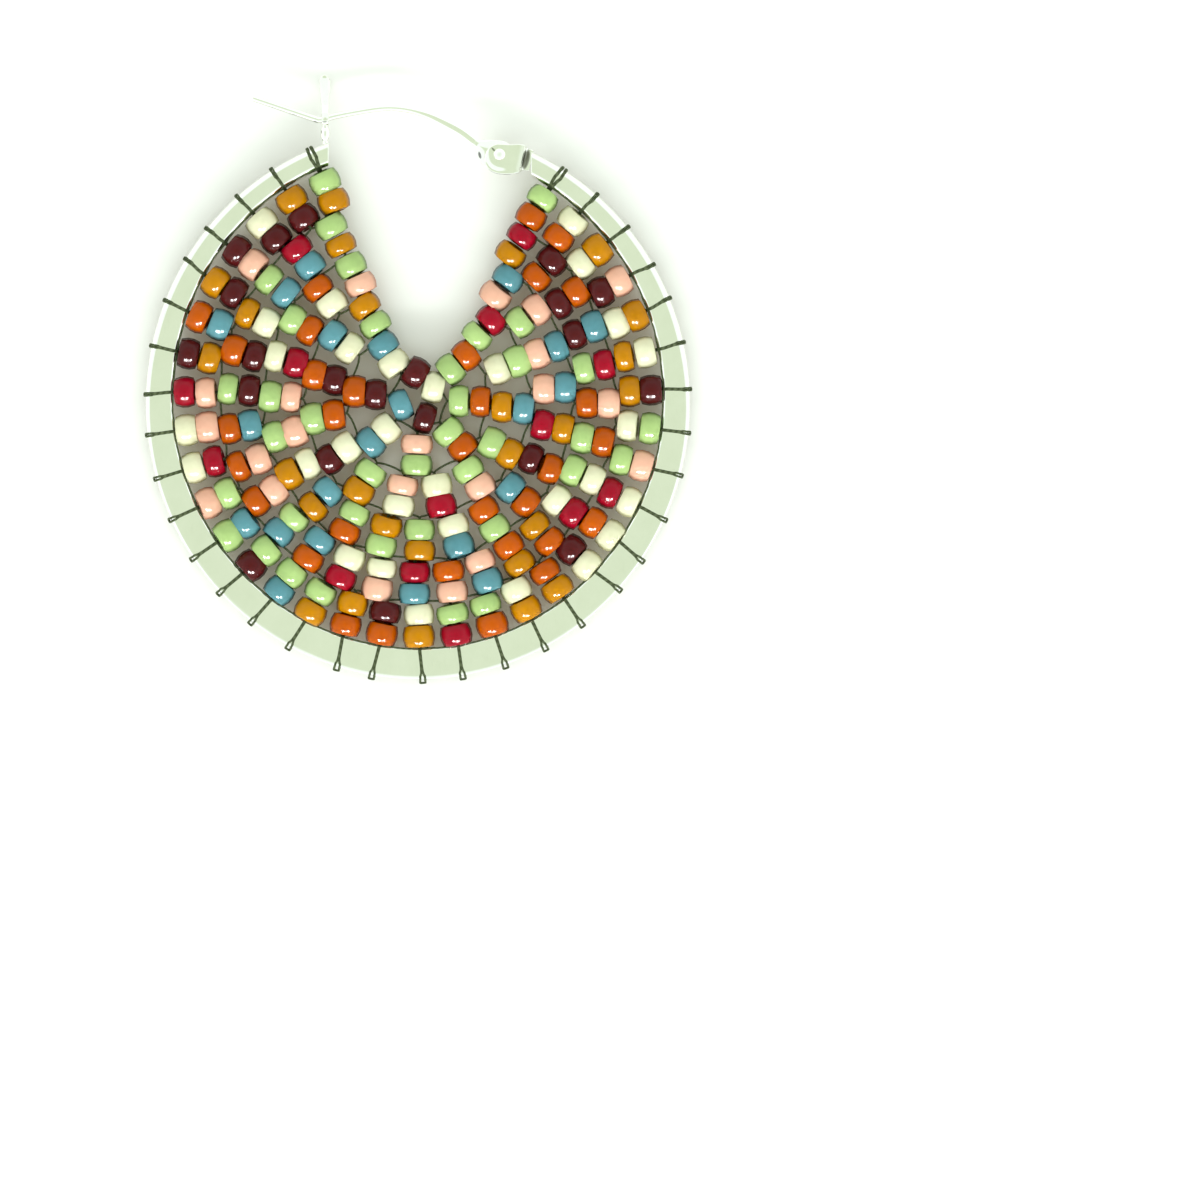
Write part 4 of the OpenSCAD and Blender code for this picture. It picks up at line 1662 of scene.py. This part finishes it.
        hole = bead.end(1, work.bead_l * bead.long / 2 - self.into_hole) + nudge
        rim_turn = math.radians(self.rim_deg)
        over = middle - heading * (flat + lie * math.cos(rim_turn)) + side * (self.close_apart / 2 * sideways)
        enter = [hole + UP * self.hole_lift, mouth + UP * self.mouth_lift]
        leave = [mouth - UP * self.mouth_lift, hole - UP * self.hole_lift]
        lift = UP * (lie * math.sin(rim_turn))
        return enter + [over + lift] + front + rim + back + [over - lift] + leave

    def wraps(self) -> list[list[Vector]]:
        """Leads a pair of strands round the tube at each stack of the first row, and two pairs at its ends.

        Returns:
            The strands.
        """
        chance = random.Random(self.seed)
        stacks = self.beadwork.stacks[0]
        lines = []
        for number, (bead, _) in enumerate(stacks):
            at_end = number in (0, len(stacks) - 1)
            shifts = (-1.0, 1.0) if at_end else (0.0,)
            stray = chance.uniform(-self.stray, self.stray)
            for shift in shifts:
                across = UP.cross(bead.heading()) * (shift * self.double_apart / 2)
                loose = self.tight_share + (1 - self.tight_share) * max(0.0, -bead.heading().y)
                wide_apart = self.close_apart if at_end else self.wide_apart * loose
                for sideways in (-1.0, 1.0):
                    strand = self.strand(bead, sideways, stray, wide_apart)
                    last = len(strand) - 1
                    parted = [min(1.0, k / self.parted_by, (last - k) / self.parted_by)
                              * (1 - self.double_closed * max(0.0, 1 - abs(k - last / 2) / self.parted_by))
                              for k in range(last + 1)]
                    lines.append([point + across * share for point, share in zip(strand, parted)])
        return lines

    def bridges(self) -> list[list[Vector]]:
        """Leads the thread from hole to hole along the inner side of each row, and down both open edges.

        Returns:
            The lines.
        """
        chance = random.Random(self.seed + 1)
        work = self.beadwork
        lines = []
        for stacks in work.stacks:
            for (_, left), (_, right) in zip(stacks, stacks[1:]):
                half_l, half_r = work.bead_l * left.long / 2, work.bead_l * right.long / 2
                start, end = left.end(-1, half_l), right.end(-1, half_r)
                sag = -(left.heading() + right.heading()).normalized()
                drop = self.bridge_sag * chance.uniform(*self.sag_spread)
                path = [start.lerp(end, share) + sag * (self.bridge_out * out + drop * down)
                        for share, out, down in self.sag_path]
                lines.append([left.end(-1, half_l - self.into_hole), *path,
                              right.end(-1, half_r - self.into_hole)])
        for at in (0, -1):
            for above, below in zip(work.stacks, work.stacks[1:]):
                upper, lower = above[at][1], below[at][0]
                inside, outside = work.bead_l / 2 - self.into_hole, work.bead_l / 2 + self.edge_gap
                lines.append([upper.end(-1, inside), upper.end(-1, outside),
                              lower.end(1, outside), lower.end(1, inside)])
        return lines

    def window_line(self) -> list[list[Vector]]:
        """Leads a thin thread along the window's edge from the first wrap to the last.

        Returns:
            The line.
        """
        row = self.beadwork.rows[0]
        chance = random.Random(self.seed + 2)
        line = []
        for k in range(self.window_points + 1):
            angle = math.radians(row.first + (row.last - row.first) * k / self.window_points)
            inner, outer = self.hoop.inner_edge(angle), self.hoop.outer_edge(angle)
            inward = (inner - outer).normalized()
            radius = self.hoop.thickness((outer - inner).length) / 2
            stray = chance.uniform(-self.window_stray_deg, self.window_stray_deg)
            turn = math.radians(self.window_lie_deg + stray)
            lie = radius + self.line_d / 2
            line.append(inner + inward * (lie * math.cos(turn) - radius) + UP * (lie * math.sin(turn)))
        return [line]

    def build(self) -> list[bpy.types.Object]:
        """Sweeps all the thread.

        Returns:
            The pieces.
        """
        tree = self.tree()
        return [
            self.sweep("rim_wraps", self.wraps(), self.strand_d, tree),
            self.sweep("stack_bridges", self.bridges(), self.bridge_d, tree),
            self.sweep("window_edge_thread", self.window_line(), self.line_d, tree)]


@dataclass(frozen=True)
class Lamp:
    """One flat lamp: where it stands seen from the earring, its size, its light, and what it lights.

    A lamp for the shine shows in the gloss of the beads alone. One for the shade lights the whole scene,
    without showing in polished surfaces.
    """

    name: str
    turn_deg: float
    width: float
    height: float
    radiance: float
    shines: bool


@dataclass
class Studio:
    """The white table, soft lamps on the viewer's side, the pale room and the camera overhead."""

    tabletop: WhiteTabletop
    beads: bpy.types.Object
    table_size: float = 3.0
    photo_width_mm: float = 113.31
    photo_mid_mm: tuple[float, float] = (17.19, -20.95)
    camera_up_mm: float = 700.0
    bead_mid_mm: float = 1.9
    sensor_mm: float = 36.0
    seen_from_to: tuple[float, float] = (0.01, 10.0)
    lamps: tuple[Lamp, ...] = (
        Lamp("strip_light", 1.0, 0.85, 0.06, 18.4, False),
        Lamp("window_shine", -1.5, 0.52, 0.22, 44.0, True),
        Lamp("left_spot_shine", -19.0, 0.13, 0.13, 250.0, True),
        Lamp("right_spot_shine", 16.0, 0.13, 0.13, 250.0, True))
    lamp_rise: float = 32.5
    lamp_far: float = 0.6
    overhead: str = "#B3BEA7"
    walls: str = "#F7FFFB"
    far_wall: str = "#D2D3CA"
    wall_strength: float = 1.72
    upper_change: float = -0.56
    low_band: tuple[float, float] = (0.06, 0.36)
    far_band: tuple[float, float] = (-0.5, 0.7)
    near_darkness: float = 0.7
    overhead_band: tuple[float, float] = (0.93, 0.975)
    upper_band: tuple[float, float] = (0.45, 0.75)

    def table(self) -> None:
        """Lays the tabletop under the earring."""
        half = self.table_size / 2
        mesh = bpy.data.meshes.new("tabletop")
        corners = [(-half, -half, 0.0), (half, -half, 0.0), (half, half, 0.0), (-half, half, 0.0)]
        mesh.from_pydata(corners, [], [(0, 1, 2, 3)])
        mesh.materials.append(self.tabletop.material())
        add_object("tabletop", mesh)

    def sky(self) -> None:
        """Lights the scene from a pale room.

        Its walls are white and a little grey near the floor, its upper part is dimmer, and the patch straight
        overhead, which the flat metal mirrors, is pale green.
        """
        world = bpy.data.worlds.new("pale_room")
        world.use_nodes = True
        tree = world.node_tree
        tree.nodes.clear()
        place = add_node(tree, "ShaderNodeTexCoord").outputs["Generated"]
        heading = add_node(tree, "ShaderNodeSeparateXYZ", {"Vector": place}).outputs
        low, far, high, upper = [
            add_node(tree, "ShaderNodeMapRange", {
                "Value": heading[axis], "From Min": band[0], "From Max": band[1],
                "To Min": start, "To Max": end}, interpolation_type="SMOOTHSTEP").outputs["Result"]
            for axis, band, start, end in (
                ("Z", self.low_band, 1.0, 0.0), ("Y", self.far_band, self.near_darkness, 1.0),
                ("Z", self.overhead_band, 0.0, 1.0), ("Z", self.upper_band, 0.0, self.upper_change))]
        colour = linear(self.walls)
        dark = add_node(tree, "ShaderNodeMath", {0: low, 1: far}, operation="MULTIPLY").outputs["Value"]
        for share, tint in ((dark, self.far_wall), (high, self.overhead)):
            colour = add_node(tree, "ShaderNodeMix", {
                MIX_FACTOR: share, MIX_A: colour, MIX_B: linear(tint)}, data_type="RGBA").outputs[MIX_COLOUR]
        beside = add_node(tree, "ShaderNodeMath", {0: 1.0, 1: high}, operation="SUBTRACT").outputs["Value"]
        strength = add_node(tree, "ShaderNodeMath", {
            0: upper, 1: beside, 2: self.wall_strength}, operation="MULTIPLY_ADD").outputs["Value"]
        light = add_node(tree, "ShaderNodeBackground", {"Color": colour, "Strength": strength})
        add_node(tree, "ShaderNodeOutputWorld", {"Surface": light.outputs["Background"]})
        bpy.context.scene.world = world

    def hang(self, lamp: Lamp) -> None:
        """Hangs a lamp low on the viewer's side; a lamp for the shine lights the beads alone.

        Args:
            lamp: The lamp.
        """
        turn, rise = math.radians(lamp.turn_deg), math.radians(self.lamp_rise)
        away = Vector((math.sin(turn) * math.cos(rise), -math.cos(turn) * math.cos(rise), math.sin(rise)))
        light = bpy.data.lights.new(lamp.name, "AREA")
        light.shape = "RECTANGLE"
        light.size = lamp.width
        light.size_y = lamp.height
        light.energy = math.pi * lamp.width * lamp.height * lamp.radiance
        holder = add_object(lamp.name, light)
        holder.location = away * self.lamp_far
        holder.rotation_euler = away.to_track_quat("Z", "Y").to_euler()
        holder.visible_diffuse = not lamp.shines
        holder.visible_glossy = lamp.shines
        if lamp.shines:
            lit = bpy.data.collections.new(lamp.name)
            lit.objects.link(self.beads)
            holder.light_linking.receiver_collection = lit

    def camera(self) -> None:
        """Hangs the camera straight over the photograph's middle."""
        lens = bpy.data.cameras.new("overhead_camera")
        lens.sensor_width = self.sensor_mm
        lens.lens = self.sensor_mm * self.camera_up_mm / self.photo_width_mm
        lens.clip_start, lens.clip_end = self.seen_from_to
        holder = add_object("overhead_camera", lens)
        holder.location = Vector((*self.photo_mid_mm, self.camera_up_mm + self.bead_mid_mm)) * MM
        bpy.context.scene.camera = holder

    def build(self) -> None:
        """Sets up the table, the light and the camera."""
        self.camera()
        self.table()
        self.sky()
        for lamp in self.lamps:
            self.hang(lamp)
        bpy.context.scene.view_settings.view_transform = "Standard"


def report(piece: bpy.types.Object) -> None:
    """Logs a piece's name and its number of triangles."""
    LOG.info("%s: %d triangles", piece.name, sum(len(face.vertices) - 2 for face in piece.data.polygons))


def main() -> None:
    """Builds and dresses every piece in order, then sets up the studio."""
    logging.basicConfig(level=logging.INFO, format="%(message)s")
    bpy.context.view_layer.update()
    laying = Laying.from_hinge(frame["joints"][0], Vector((*RIVET, 0.0)))
    hoop = HoopFrame(laying, SilverPlate("silver_plated_tube", laying.marks(StainAndPaintedShade.FORK_WIRE_SHADOW, StainAndPaintedShade.SOLDER_BALL_SHADE)))
    report(hoop.build())
    hinge = Hinge(laying, SilverPlate("silver_plated_bracket", laying.marks(StainAndPaintedShade.GROOVE, StainAndPaintedShade.RIVET_HEAD_SHADOW)),
                  SilverPlate("silver_plated_rivet", roughness=0.3))
    report(hinge.bracket())
    report(hinge.headed_pin())
    report(EarWire(laying, SilverPlate("silver_wire", laying.marks(StainAndPaintedShade.PADDLE_REFLECTION))).build())
    beadwork = Beadwork(laying, hoop)
    beads = beadwork.build()
    report(beads)
    for piece in Threading(laying, hoop, beadwork, WaxedThread()).build():
        report(piece)
    Studio(WhiteTabletop(), beads).build()


if __name__ == "__main__":
    main()
